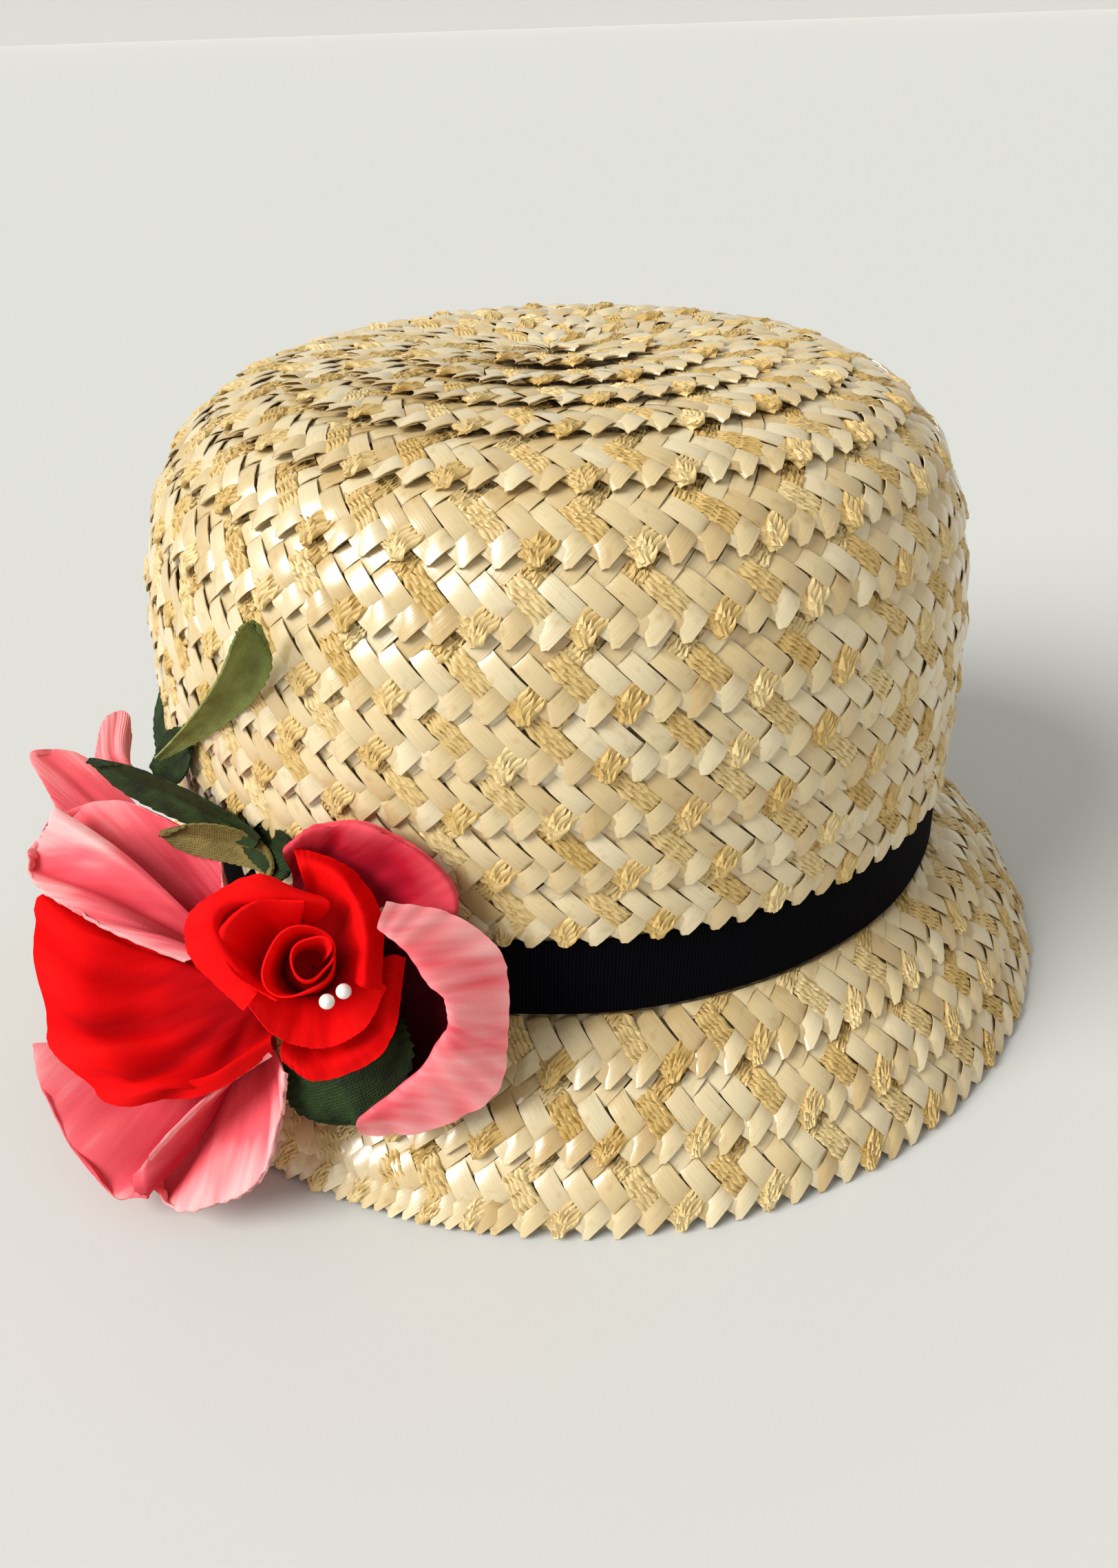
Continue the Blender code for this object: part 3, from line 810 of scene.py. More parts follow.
def add_shell(name, rings, node, material):
    """Closed ring of revolution whose outline is a list of rings of points."""
    points = np.stack(rings)
    rows, columns = points.shape[:2]
    steps = np.linalg.norm(np.diff(points, axis=0), axis=-1).mean(axis=1)
    up = np.concatenate([[0.0], np.cumsum(steps)])
    quads = grid_quads(rows, columns, wrap=True)
    closing = (rows - 1) * columns + np.arange(columns)
    after = np.roll(np.arange(columns), -1)
    quads = np.concatenate([
        quads,
        np.stack([closing, (rows - 1) * columns + after, after, np.arange(columns)], axis=-1),
    ])
    around = np.linspace(0.0, 2.0 * math.pi * CROWN_HALF_WIDTH, columns)
    uv = stacked(around[None, :], up[:, None]).reshape(-1, 2)
    mesh = mesh_of_quads(name, points.reshape(-1, 3), quads, uv)
    return add_piece(name, mesh, material, [node])


def add_shells():
    """Thin backing that closes the braid's gaps and shows its inside."""
    material = shell_material()
    angle = full_turn(SHELL_SEGMENTS)
    lip = DOME_LENGTH[np.argmax(DOME_HEIGHT <= BAND_TOP_HEIGHT)]
    lengths = np.concatenate([[0.4], np.linspace(6.0, lip, 34)])
    outer = [dome_spot(length, -SHELL_INSET) for length in lengths]
    recess = BAND_TOP_RADIUS - 1.3
    foot = BAND_FOOT_RADIUS - 1.3
    outer += [(recess, BAND_TOP_HEIGHT), (foot, BRIM_HEIGHT), (foot - 1.2, BRIM_HEIGHT)]
    outer += [(recess - 1.2, BAND_TOP_HEIGHT + 3.0)]
    inner = [dome_spot(length, -SHELL_WALL) for length in lengths[::-1]]
    rings = [crown_point(angle, radius, height) for radius, height in outer + inner]
    add_shell("straw_crown_back", rings, "straw_crown", material)
    lengths = np.linspace(0.0, 0.965 * BRIM_SLANT, 12)
    outer = [brim_spot(length, -SHELL_INSET) for length in lengths]
    inner = [brim_spot(length, -SHELL_WALL) for length in lengths[::-1]]
    rings = [brim_point(angle, share, height) for share, height in outer + inner]
    add_shell("straw_brim_back", rings, "straw_brim", material)


# Ribbon

RIBBON_SEGMENTS = 360
RIBBON_ROWS = 8
RIBBON_THICKNESS = 0.7


def sheet_mesh(name, grid, thickness, wrap=False, tone=None):
    """Thin closed cloth from a grid of points in mm."""
    rows, columns = grid.shape[:2]
    across = np.gradient(grid, axis=1)
    along = np.gradient(grid, axis=0)
    if wrap:
        across = np.roll(grid, -1, axis=1) - np.roll(grid, 1, axis=1)
    normal = unit(np.cross(across, along))
    front = (grid + 0.5 * thickness * normal).reshape(-1, 3)
    back = (grid - 0.5 * thickness * normal).reshape(-1, 3)
    quads = grid_quads(rows, columns, wrap)
    count = rows * columns
    if wrap:
        first = np.arange(columns)
        borders = [first[::-1], (rows - 1) * columns + first]
        rims = [np.stack([b, b + count, np.roll(b, 1) + count, np.roll(b, 1)], axis=-1) for b in borders]
    else:
        border = grid_border(rows, columns)
        after = np.roll(border, -1)
        rims = [np.stack([border, border + count, after + count, after], axis=-1)]
    quads = np.concatenate([quads, quads[:, ::-1] + count] + rims)
    steps_u = np.linalg.norm(np.diff(grid, axis=1), axis=-1)
    steps_v = np.linalg.norm(np.diff(grid, axis=0), axis=-1)
    u = np.concatenate([np.zeros((rows, 1)), np.cumsum(steps_u, axis=1)], axis=1)
    u = u - 0.5 * u[:, -1:]
    v = np.concatenate([np.zeros((1, columns)), np.cumsum(steps_v, axis=0)], axis=0)
    uv = np.stack([v, u] if not wrap else [u, v], axis=-1).reshape(-1, 2)
    if tone is not None:
        tone = np.tile(tone.ravel(), 2)
    return mesh_of_quads(name, np.concatenate([front, back]), quads, np.concatenate([uv, uv]), tone)


def grid_size(grid):
    """Width, length and area in metres of a grid of points in mm, laid flat."""
    across = np.linalg.norm(np.diff(grid, axis=1), axis=-1).sum(axis=1).max()
    along = np.linalg.norm(np.diff(grid, axis=0), axis=-1).sum(axis=0).max()
    patches = np.cross(grid[1:, 1:] - grid[:-1, :-1], grid[1:, :-1] - grid[:-1, 1:])
    area = 0.5 * np.linalg.norm(patches, axis=-1).sum()
    return across * MM, along * MM, area * MM * MM


def add_ribbon():
    angle = full_turn(RIBBON_SEGMENTS)
    top = BAND_TOP_HEIGHT - SEAT_GAP
    rows = []
    for level in np.linspace(0.0, 1.0, RIBBON_ROWS + 1):
        radius = BAND_FOOT_RADIUS + (BAND_TOP_RADIUS - BAND_FOOT_RADIUS) * level - 0.5 * RIBBON_THICKNESS
        slack = 0.10 * np.sin(7.0 * angle + 2.0 * level) + 0.07 * np.sin(17.0 * angle + 1.0 + level)
        height = BRIM_HEIGHT + (top - BRIM_HEIGHT) * level + 0.12 * np.sin(5.0 * angle) * (1.0 - level)
        rows.append(crown_point(angle, radius + slack, height))
    grid = np.stack(rows)
    piece = add_piece("ribbon", sheet_mesh("ribbon", grid, RIBBON_THICKNESS, wrap=True), ribbon_material(),
                      ["hat_band"])


# Roses

Rose = namedtuple("Rose", "base facing")
ROSES = {
    "front_rose": Rose((-56.0, -81.0, 41.5), (0.327, -0.682, 0.654)),
    "left_rose": Rose((-66.0, -84.5, 37.5), (-0.93, -0.22, 0.29)),
}

# Petals by points in mm in the hat's frame: the root, the edge from one side to the other, and the ridge
# where the petal turns over towards its edge. Hold is where between root and ridge its middle lies, cup how
# far that sinks, and pleat how deep the fine pleats towards its edge are. Without a ridge, roll is how far
# the edge turns over. Creases are (side from -1 to 1, depth, width), where a depth below 0 stands proud.
# Shade is painted shade over the whole petal below 0 and painted light over it above 0.
Petal = namedtuple("Petal", "root edge ridge roll hold cup pleat creases shade", defaults=(0.0,))
PETALS = {
    "front_rose_left": Petal(
        (-59, -84, 44),
        ((-52, -85.5, 65.5), (-60, -84.5, 69), (-71, -90.5, 66), (-71.5, -95.5, 58.5), (-62.5, -99.5, 49)),
        ((-46, -89, 65), (-55, -91, 68.5), (-64.5, -93.5, 68.5), (-65, -97, 64), (-59, -100.5, 54)),
        0.0, 0.55, 1.0, 0.05, ((-0.2, 0.5, 0.12), (0.35, 0.4, 0.1)),
    ),
    "front_rose_right": Petal(
        (-52.5, -79.5, 45.5),
        ((-54, -78, 70.5), (-49.5, -79, 69.5), (-41, -81.5, 65.5), (-37, -88, 58), (-37.5, -96.5, 50)),
        ((-52, -83, 69), (-49, -83, 69), (-43, -86.5, 66.5), (-40, -92.5, 60), (-40.5, -98.5, 53)),
        0.0, 0.55, 1.0, 0.05, ((0.1, 0.5, 0.14),),
    ),
    "front_rose_low": Petal(
        (-53, -85, 40.5),
        ((-56, -104.5, 40.5), (-50, -105.5, 36), (-40, -101, 36), (-35.5, -96.5, 40.5), (-33.5, -87.5, 50)),
        (), 2.6, 0.55, 1.0, 0.05, ((0.35, 0.8, 0.12), (-0.35, 0.5, 0.1)),
    ),
    "front_rose_lip": Petal(
        (-53, -87, 43),
        ((-61, -101.5, 52), (-56.5, -103, 45.5), (-49, -102.5, 41.5), (-41, -99.5, 43), (-36.5, -94.5, 49)),
        (), 3.0, 0.65, -3.0, 0.05, ((-0.3, 0.6, 0.1), (0.15, 0.4, 0.1)),
    ),
    "front_rose_inner": Petal(
        (-55, -87.5, 46.5),
        (
            (-50.5, -91, 67.5), (-59, -92, 68.5), (-65, -95.5, 64.5), (-63.5, -99.5, 58.5),
            (-55.5, -102.5, 54),
        ),
        (), 0.8, 0.6, 1.0, 0.05, ((0.0, -0.8, 0.14),),
    ),
    "front_rose_pink_top": Petal(
        (-57.5, -74, 47),
        (
            (-55, -78, 71), (-48.5, -78.5, 76), (-37.5, -82.5, 78.5), (-27, -86.5, 73.5), (-22, -88.5, 64.5),
            (-27, -89.5, 51.5),
        ),
        (), 1.8, 0.55, 3.0, 0.12, ((0.0, 0.9, 0.12), (-0.45, 0.7, 0.1)), -0.36,
    ),
    "front_rose_pink_right": Petal(
        (-50, -82, 38),
        (
            (-35, -91.5, 67), (-23.5, -91, 63.5), (-14.5, -93, 55), (-13.5, -98, 44.5), (-16.5, -103, 29),
            (-29.5, -105.5, 21.5), (-43.5, -105.5, 21),
        ),
        (
            (-36, -96.5, 65), (-31.5, -98.5, 61.5), (-28, -100.5, 56), (-24.5, -102.5, 50.5), (-26, -104, 44),
            (-32.5, -104.5, 34.5), (-43, -107, 27),
        ),
        0.0, 0.85, 12.0, 0.22, ((0.2, 0.6, 0.09), (-0.15, 0.7, 0.08), (0.55, 0.6, 0.09)), 0.0,
    ),
    "left_rose_near": Petal(
        (-65, -87.5, 42.5),
        (
            (-85.5, -69, 44.5), (-103.5, -63.5, 49), (-110.5, -68, 53), (-110.5, -75.5, 48.5),
            (-107.5, -88, 37), (-97.5, -98.5, 29), (-86.5, -102.5, 27), (-72, -101, 29), (-60.5, -95, 33.5),
        ),
        (
            (-81, -74.5, 42.5), (-90, -76, 45.5), (-97.5, -76.5, 49), (-100, -81.5, 46), (-98.5, -89.5, 39.5),
            (-91, -98.5, 34), (-82.5, -102, 32), (-71, -100, 33.5), (-60.5, -94.5, 36.5),
        ),
        0.0, 0.6, 4.0, 0.1,
        ((-0.28, 1.6, 0.08), (0.0, 3.0, 0.08), (0.13, -1.6, 0.06), (0.28, 2.6, 0.08), (0.62, 3.0, 0.09)),
    ),
    "left_rose_pink_back": Petal(
        (-75.5, -61, 40.5),
        (
            (-112.5, -44, 55.5), (-117.5, -37.5, 60.5), (-121, -31.5, 65), (-111, -30.5, 63),
            (-100, -37.5, 57),
        ),
        (), 0.8, 0.55, 1.5, 0.12, ((0.1, 0.8, 0.12),),
    ),
    "left_rose_pink_back_top": Petal(
        (-70, -77, 43),
        (
            (-73, -66, 52), (-77, -56, 56), (-96, -45, 59.5), (-111.5, -44.5, 57.5), (-116, -50, 53.5),
            (-110, -59, 49), (-94, -68, 48),
        ),
        (), 1.2, 0.55, 1.0, 0.15, ((-0.45, 1.2, 0.12), (0.1, 2.5, 0.14)),
    ),
    "left_rose_pink_back_fold": Petal(
        (-69, -81, 44),
        (
            (-109, -50.5, 61), (-113.5, -53.5, 58), (-116, -58.5, 54.5), (-109.5, -68, 54),
            (-94.5, -78.5, 52.5), (-77.5, -85, 48.5),
        ),
        (), 1.2, 0.6, -3.0, 0.3, ((-0.92, -2.4, 0.12), (-0.25, 2.4, 0.16), (0.45, 1.2, 0.12)), 0.12,
    ),
    "left_rose_pink_low": Petal(
        (-67, -85, 29),
        (
            (-112, -84.5, 27), (-109.5, -92, 17.5), (-97.5, -105, 7.5), (-89, -108, 7.5), (-85.5, -106.5, 16),
            (-71.5, -100, 27.5), (-60.5, -95.5, 33),
        ),
        (), 1.4, 0.55, 4.0, 0.15, ((-0.35, 2.2, 0.12), (0.1, 3.0, 0.14), (-0.65, 1.0, 0.1)),
    ),
    "left_rose_pink_near": Petal(
        (-66, -86.5, 26.5),
        (
            (-90, -104, 9), (-83.5, -109.5, 7), (-75, -111.5, 8), (-63.5, -111, 14), (-58.5, -104.5, 24),
            (-57.5, -98, 30.5),
        ),
        (), 1.2, 0.55, 1.0, 0.35,
        ((-0.75, 3.6, 0.18), (-0.1, 0.8, 0.08), (0.25, 0.8, 0.08), (0.6, 0.8, 0.08)), 0.18,
    ),
}
# The way the flowers face, which is the side that a petal's middle sinks from
FLOWER_FACE = np.array([0.2, -0.72, 0.66])
RED_NODE = "{}_red_petals"

# Leaves by the root, the tip and both sides at the waist, the widest place, as a share of the length
Leaf = namedtuple("Leaf", "root tip left right hollow foot node waist", defaults=(0.66,))
LEAVES = {
    "leaf_upright": Leaf(
        (-89, -44, 70.5), (-55, -72, 115), (-59.5, -75, 111.5), (-54, -71.5, 105), 2.1, 0.16, "leaf_upright",
        0.8,
    ),
    "leaf_upright_fold": Leaf(
        (-92, -40, 64), (-79, -49.5, 80.5), (-88.5, -38.5, 73), (-82.3, -49, 69.5), 1.0, 0.5, "leaf_upright",
    ),
    "leaf_long": Leaf(
        (-63.5, -68.5, 65), (-107, -37.5, 67), (-89.3, -47.8, 59.5), (-83.9, -52.1, 69.1), 1.0, 0.4,
        "leaf_long",
    ),
    "leaf_short": Leaf(
        (-61, -72, 60), (-88, -55.5, 59), (-77, -59.5, 55.1), (-71.5, -62, 64.5), 1.0, 0.3, "leaf_short",
    ),
    "leaf_short_fold": Leaf(
        (-58.5, -73, 59.5), (-69, -59.5, 63), (-65, -67, 58.5), (-57, -71.5, 68.5), 1.0, 0.5, "leaf_short",
    ),
    "leaf_under": Leaf(
        (-49.5, -82.5, 33), (-43, -102.5, 20.5), (-59, -98.5, 25), (-33, -95, 35), 1.5, 0.35, "leaf_under",
    ),
    "leaf_behind": Leaf(
        (-92.5, -28.5, 57.5), (-99.5, -3.5, 68), (-100, -14, 58), (-94.5, -17.5, 66), 1.0, 0.3, "leaf_behind",
    ),
}
FAR_PETAL = Petal(
    (-93.5, -32.5, 49),
    ((-105.5, -14.5, 60), (-106, -11.5, 63.5), (-108.5, -11, 65), (-112, -14, 63), (-113, -21, 57)),
    (
        (-104.5, -22, 55.5), (-105.5, -20.5, 58), (-107.5, -20.5, 58.5), (-109.5, -22.5, 57),
        (-109, -24.5, 54.5),
    ),
    0.0, 0.55, 1.0, 0.1, ((0.1, 0.5, 0.14),),
)
PETAL_ROWS = 42
PETAL_COLUMNS = 72
PETAL_THICKNESS = 0.35
PETAL_ROOT_SHARE = 0.12
PLEATS = 17.0
ROLL_LIFT = 0.8
FRAY = 0.12
FRAY_START = 0.93
# The tone half way up a petal, and the painted shade and light on it: painted shade at the root, painted
# light at the edge, painted light for each mm that the silk stands proud and painted shade for each mm that
# it sinks, and painted shade for each mm by which a cup is deeper than a plain one
MID_TONE = 0.5
ROOT_PAINTED_SHADE = 0.5
EDGE_PAINTED_LIGHT = 0.12
RELIEF_PAINTED_SHADE = 0.14
CUP_PAINTED_SHADE = 0.1
PLAIN_CUP = 4.0
CUP_END = 0.66
LEAF_THICKNESS = 0.45


def facing_axes(rose):
    """Right, up and out of a rose, as columns."""
    out = unit(np.array(rose.facing))
    right = unit(np.cross([0.0, 0.0, 1.0], out))
    return np.stack([right, np.cross(out, right), out], axis=-1)


def in_hat(rose, points):
    """Points of a rose's frame in the hat's frame."""
    return points @ facing_axes(rose).T + np.array(rose.base)


def grid_normals(grid):
    return unit(np.cross(np.gradient(grid, axis=1), np.gradient(grid, axis=0)))


def petal_grid(petal, seed):
    """Silk petal lofted from its root over a cupped middle and a ridge to its edge, then creased.

    The second result is its tone, which paints shade and light: painted shade at the root, in the creases and
    in a deep cup, and painted light on what stands proud and towards the edge.
    """
    rng = np.random.default_rng(seed)
    edge = np.array(petal.edge, dtype=float)
    root = np.array(petal.root, dtype=float)
    face = unit(np.cross(edge[-1] - edge[0], edge.mean(axis=0) - root))
    face = face * np.sign(face @ FLOWER_FACE)
    if petal.ridge:
        ridge = np.array(petal.ridge, dtype=float)
    else:
        ridge = edge + petal.roll * (unit(root - edge) + ROLL_LIFT * face)
    foot = root + PETAL_ROOT_SHARE * (edge - edge.mean(axis=0))
    middle = foot + (ridge - foot) * petal.hold - petal.cup * face
    knots = np.stack([spline(line, PETAL_COLUMNS) for line in (foot, middle, ridge, edge)])
    grid = np.stack([spline(knots[:, column], PETAL_ROWS) for column in range(PETAL_COLUMNS + 1)], axis=1)
    row = np.linspace(0.0, 1.0, PETAL_ROWS + 1)[:, None]
    side = np.linspace(-1.0, 1.0, PETAL_COLUMNS + 1)[None, :]
    frayed = smooth((row - FRAY_START) / (1.0 - FRAY_START))
    frays = FRAY * rng.uniform(-1.0, 1.0, PETAL_COLUMNS + 1)[None, :] * frayed
    grid = grid + unit(knots[3] - knots[1])[None] * frays[..., None]
    normal = grid_normals(grid)
    normal = normal * np.sign((normal @ FLOWER_FACE).mean())
    push = 0.15 * np.sin(9.0 * side + 5.0 * row) * row
    push = push + petal.pleat * np.sin(PLEATS * math.pi * side + 4.0 * np.sin(5.0 * side + seed)) * row ** 3
    for place, depth, width in petal.creases:
        wander = place + 0.06 * np.sin(4.0 * row)
        push = push - depth * np.exp(-((side - wander) / width) ** 2) * smooth(row * 1.6) * (1.0 - 0.3 * row)
    # Painted shade and light: darker at the root, in sunk creases and in a deep cup, lighter where the silk
    # stands proud and at the edge, with the petal's painted shade over all.
    tone = MID_TONE + petal.shade + RELIEF_PAINTED_SHADE * push
    tone = tone - ROOT_PAINTED_SHADE * smooth(1.0 - 1.4 * row) + EDGE_PAINTED_LIGHT * row ** 4
    tone = tone - CUP_PAINTED_SHADE * max(petal.cup - PLAIN_CUP, 0.0) * smooth((CUP_END - row) / 0.2)
    return grid + normal * push[..., None], np.clip(tone, -0.4, 1.0)


HEART_ROWS = 22
Heart = namedtuple("Heart", "turns inner outer top drop inner_lean outer_lean core_top")
HEARTS = {
    "front_rose": Heart(2.1, 1.9, 6.9, 27.5, 3.5, (0.6, 2.4), (-4.0, 2.6), 18.5),
    "left_rose": Heart(1.6, 1.0, 2.6, 9.4, 1.0, (-4.0, -1.5), (-4.0, -1.5), 3.0),
}
CORE_FOOT = -1.2
CORE_TOP_RADIUS = 4.6
CORE_FOOT_RADIUS = 5.5


def heart_grid(heart):
    """Strip of silk wound loosely round the axis: a small curl, then wider folds, open at the top.

    The second result is its tone, a painted shade: darker low down inside the heart and on its inner
    windings.
    """
    steps = round(heart.turns * 48)
    share = np.linspace(0.0, 1.0, steps + 1)[None, :]
    level = np.linspace(0.0, 1.0, HEART_ROWS + 1)[:, None]
    angle = 2.0 * math.pi * heart.turns * share - 0.5
    top = heart.top - heart.drop * share ** 1.5 + 0.8 * np.sin(1.7 * angle + 1.0)
    height = -0.5 + (top + 0.5) * level
    radius = heart.inner + (heart.outer - heart.inner) * share ** 0.85
    gather = 0.45 + 0.55 * smooth(level * 1.1)
    radius = radius * gather + 0.6 * smooth((level - 0.85) / 0.15) * (0.2 + share)
    radius = radius * (1.0 + 0.09 * np.sin(2.0 * angle + 0.6) * level + 0.06 * np.sin(3.3 * angle) * level)
    height = height - 0.6 * smooth((level - 0.93) / 0.07) * (0.3 + share)
    lean = [inner + (outer - inner) * share for inner, outer in zip(heart.inner_lean, heart.outer_lean)]
    x = radius * np.cos(angle) + lean[0] * level ** 2
    y = radius * np.sin(angle) + lean[1] * level ** 2
    # Painted shade: darker low down inside the heart and on the inner windings.
    tone = 0.3 + 0.35 * level ** 2 + 0.1 * share
    return stacked(x, y, height), tone


# Least share of the rectangle round it that a petal or leaf fills when it is laid flat
LEAST_CUT_SHARE = 0.55


def add_cloth(name, grid, thickness, material, node, tone=None):
    piece = add_piece(name, sheet_mesh(name, grid, thickness, tone=tone), material, [node])
    width, length, area = grid_size(grid)
    width = min(width, area / (LEAST_CUT_SHARE * length))


def add_core(rose_name, rose, heart, material):
    """Tightly wound foot of the rose, with the edges of its windings."""
    angle = np.linspace(0.0, 2.0 * math.pi, 48, endpoint=False)
    profile = [(0.2, CORE_FOOT), (0.8 * CORE_FOOT_RADIUS, CORE_FOOT), (CORE_FOOT_RADIUS, CORE_FOOT + 0.6)]
    for step in range(1, 8):
        share = step / 8
        groove = 0.15 if step % 2 else 0.0
        radius = CORE_FOOT_RADIUS + (CORE_TOP_RADIUS - CORE_FOOT_RADIUS) * share - groove
        profile.append((radius, CORE_FOOT + 0.6 + (heart.core_top - CORE_FOOT - 1.0) * share))
    profile += [(CORE_TOP_RADIUS - 0.4, heart.core_top), (0.2, heart.core_top)]
    rings = []
    for radius, height in profile:
        swell = radius * (1.0 + 0.02 * np.sin(3.0 * angle + height))
        rings.append(in_hat(rose, stacked(swell * np.cos(angle), swell * np.sin(angle), height)))
    points = np.stack(rings)
    name = rose_name + "_core"
    uv = stacked(np.arange(len(profile))[:, None] * 2.0, np.degrees(angle)[None, :] * 0.1).reshape(-1, 2)
    mesh = mesh_of_quads(name, points.reshape(-1, 3), grid_quads(*points.shape[:2], wrap=True), uv)
    # The core has no tone, so the silk gives it the dark end of its ramp: painted shade on the foot deep
    # inside the rose.
    return add_piece(name, mesh, material, [RED_NODE.format(rose_name)])


def petal_node(name):
    """Solid that a petal stands for."""
    if name.startswith("left_rose_pink_back"):
        return "left_rose_pink_back"
    if "_pink_" in name:
        return name
    return RED_NODE.format(name[:name.index("_rose") + 5])


def add_roses():
    red = silk_material("red_silk_petals", (0.34, 0.0, 0.002), (0.84, 0.002, 0.003), (0.95, 0.006, 0.006))
    pink = silk_material("pink_silk_petals", (0.50, 0.010, 0.03), (0.93, 0.135, 0.165), (1.0, 0.47, 0.47))
    for rose_name, rose in ROSES.items():
        heart = HEARTS[rose_name]
        add_core(rose_name, rose, heart, red)
        grid, tone = heart_grid(heart)
        add_cloth(rose_name + "_heart", in_hat(rose, grid), PETAL_THICKNESS, red, RED_NODE.format(rose_name),
                  tone)
    for seed, (name, petal) in enumerate(PETALS.items()):
        is_pink = "_pink_" in name
        grid, tone = petal_grid(petal, seed)
        add_cloth(name + "_petal", grid, PETAL_THICKNESS, pink if is_pink else red, petal_node(name),
                  tone)
    grid, tone = petal_grid(FAR_PETAL, 40)
    add_cloth("far_petal_silk", grid, PETAL_THICKNESS, pink, "far_petal",
              tone)


# Leaves

LEAF_ROWS = 96
LEAF_COLUMNS = 12
LEAF_TEETH = 15
TOOTH_DEPTH = 0.06
MIDRIB_FOLD = 0.35
VEIN_DEPTH = 0.08


def leaf_width(leaf, row, side):
    """Width at a share of the leaf's length, with teeth along both sides."""
    wide = leaf.foot + (1.0 - leaf.foot) * np.sin(0.5 * math.pi * np.minimum(row / leaf.waist, 1.0))
    fall = np.clip((row - leaf.waist) / (1.0 - leaf.waist), 0.0, 1.0)
    outline = np.where(row < leaf.waist, wide, np.sqrt(np.maximum(1.0 - fall ** 2.6, 0.01)))
    tooth = (row * LEAF_TEETH) % 1.0
    return outline * (1.0 + TOOTH_DEPTH * (tooth - 0.5) * np.abs(side) ** 3)


def leaf_grid(leaf):
    """Hollow leaf with a folded midrib and side veins."""
    root, tip, left, right = (np.array(spot, dtype=float) for spot in leaf[:4])
    half = (right - left) * 0.5
    hollow_side = unit(np.cross(half, tip - root))
    middle = (left + right) * 0.5 - hollow_side * leaf.hollow
    rest = 1.0 - leaf.waist
    handle = (middle - root * rest ** 2 - tip * leaf.waist ** 2) / (2.0 * rest * leaf.waist)
    row = np.linspace(0.0, 1.0, LEAF_ROWS + 1)[:, None]
    side = np.linspace(-1.0, 1.0, LEAF_COLUMNS + 1)[None, :]
    width = leaf_width(leaf, row, side)
    t = (row * (1.0 - 0.05 * np.abs(side) ** 3))[..., None]
    grid = root * (1.0 - t) ** 2 + handle * (2.0 * t * (1.0 - t)) + tip * t ** 2
    grid = grid + half * (side * width)[..., None]
    grid = grid + hollow_side * (leaf.hollow * (side * width) ** 2)[..., None]
    normal = grid_normals(grid)
    half_width = np.linalg.norm(grid[:, -1] - grid[:, 0], axis=-1)[:, None] * 0.5
    fold = -MIDRIB_FOLD * np.exp(-(np.abs(side) * half_width / 1.0))
    veins = VEIN_DEPTH * np.sin(2.0 * math.pi * (row * LEAF_TEETH - 1.6 * np.abs(side)))
    veins = veins * smooth(np.abs(side) * 4.0) * np.minimum(half_width / 5.0, 1.0)
    wave = 0.5 * row * np.sin(4.0 * row + 1.5 * side)
    return grid + normal * (fold + veins + wave)[..., None]


def add_leaves():
    green = leaf_material("leaf_cloth", (0.15, 0.165, 0.036), (0.24, 0.30, 0.08))
    olive = leaf_material("olive_leaf_cloth", (0.13, 0.10, 0.025), (0.22, 0.17, 0.05))
    # Dark leaf cloth: partly the own dark green of the leaves under the roses, partly painted shade; on
    # leaf_upright_fold and leaf_short_fold, the turned-over parts of the green and olive leaves, it is
    # painted shade.
    dark = leaf_material("dark_leaf_and_shade_cloth", (0.005, 0.012, 0.002), (0.020, 0.045, 0.007))
    finishes = {"leaf_upright": (green, "leaf_green"), "leaf_short": (olive, "leaf_green")}
    for name, leaf in LEAVES.items():
        material, slot = finishes.get(name, (dark, "dark_green"))
        grid = leaf_grid(leaf)
        add_cloth(name + "_cloth", grid, LEAF_THICKNESS, material, leaf.node)


# Stems and pins

Stem = namedtuple("Stem", "thickness route")
STEMS = {
    "front_rose_stem": Stem(2.4, (
        (-56.5, -79.9, 40.4),
        (-57.4, -78.2, 39.0),
        (-58.4, -74.5, 38.2),
        (-58.0, -71.3, 38.2),
        (-56.8, -69.5, 38.2),
    )),
    "left_rose_stem": Stem(2.4, (
        (-63.9, -83.9, 36.8),
        (-62.8, -82.6, 36.4),
        (-63.0, -78.0, 35.8),
        (-62.6, -68.1, 35.4),
        (-61.3, -66.4, 35.4),
    )),
    "leaf_stem": Stem(1.8, (
        (-89.6, -39.0, 61.0),
        (-88.0, -38.8, 58.5),
        (-87.6, -38.6, 52.5),
        (-86.6, -38.2, 49.5),
        (-86.6, -38.1, 45.0),
    )),
}
STEM_SIDES = 16
STEM_STEPS = 60
WRAP_PITCH = 2.2
WRAP_DEPTH = 0.09


# A way that none of the tubes runs in, from which their sides are counted
TUBE_START = (0.3, 0.2, 0.93)


def tube_form(path, radii, sides):
    """Round tube along a path, closed at both ends by small rings."""
    tangent = unit(np.gradient(path, axis=0))
    side = unit(np.cross(tangent, TUBE_START))
    out = np.cross(side, tangent)
    around = full_turn(sides)
    radii = np.broadcast_to(radii, (len(path), sides))
    points = (
        path[:, None, :]
        + side[:, None, :] * (radii * np.cos(around))[..., None]
        + out[:, None, :] * (radii * np.sin(around))[..., None]
    )
    caps = [path[0] + 0.02 * (points[0] - path[0]), path[-1] + 0.02 * (points[-1] - path[-1])]
    points = np.concatenate([[caps[0]], points, [caps[1]]])
    length = run_length(path)
    length = np.concatenate([[length[0]], length, [length[-1]]])
    uv = stacked(length[:, None], around[None, :])
    quads = grid_quads(*points.shape[:2], wrap=True)[:, ::-1]
    return Form(points.reshape(-1, 3), quads, uv.reshape(-1, 2))


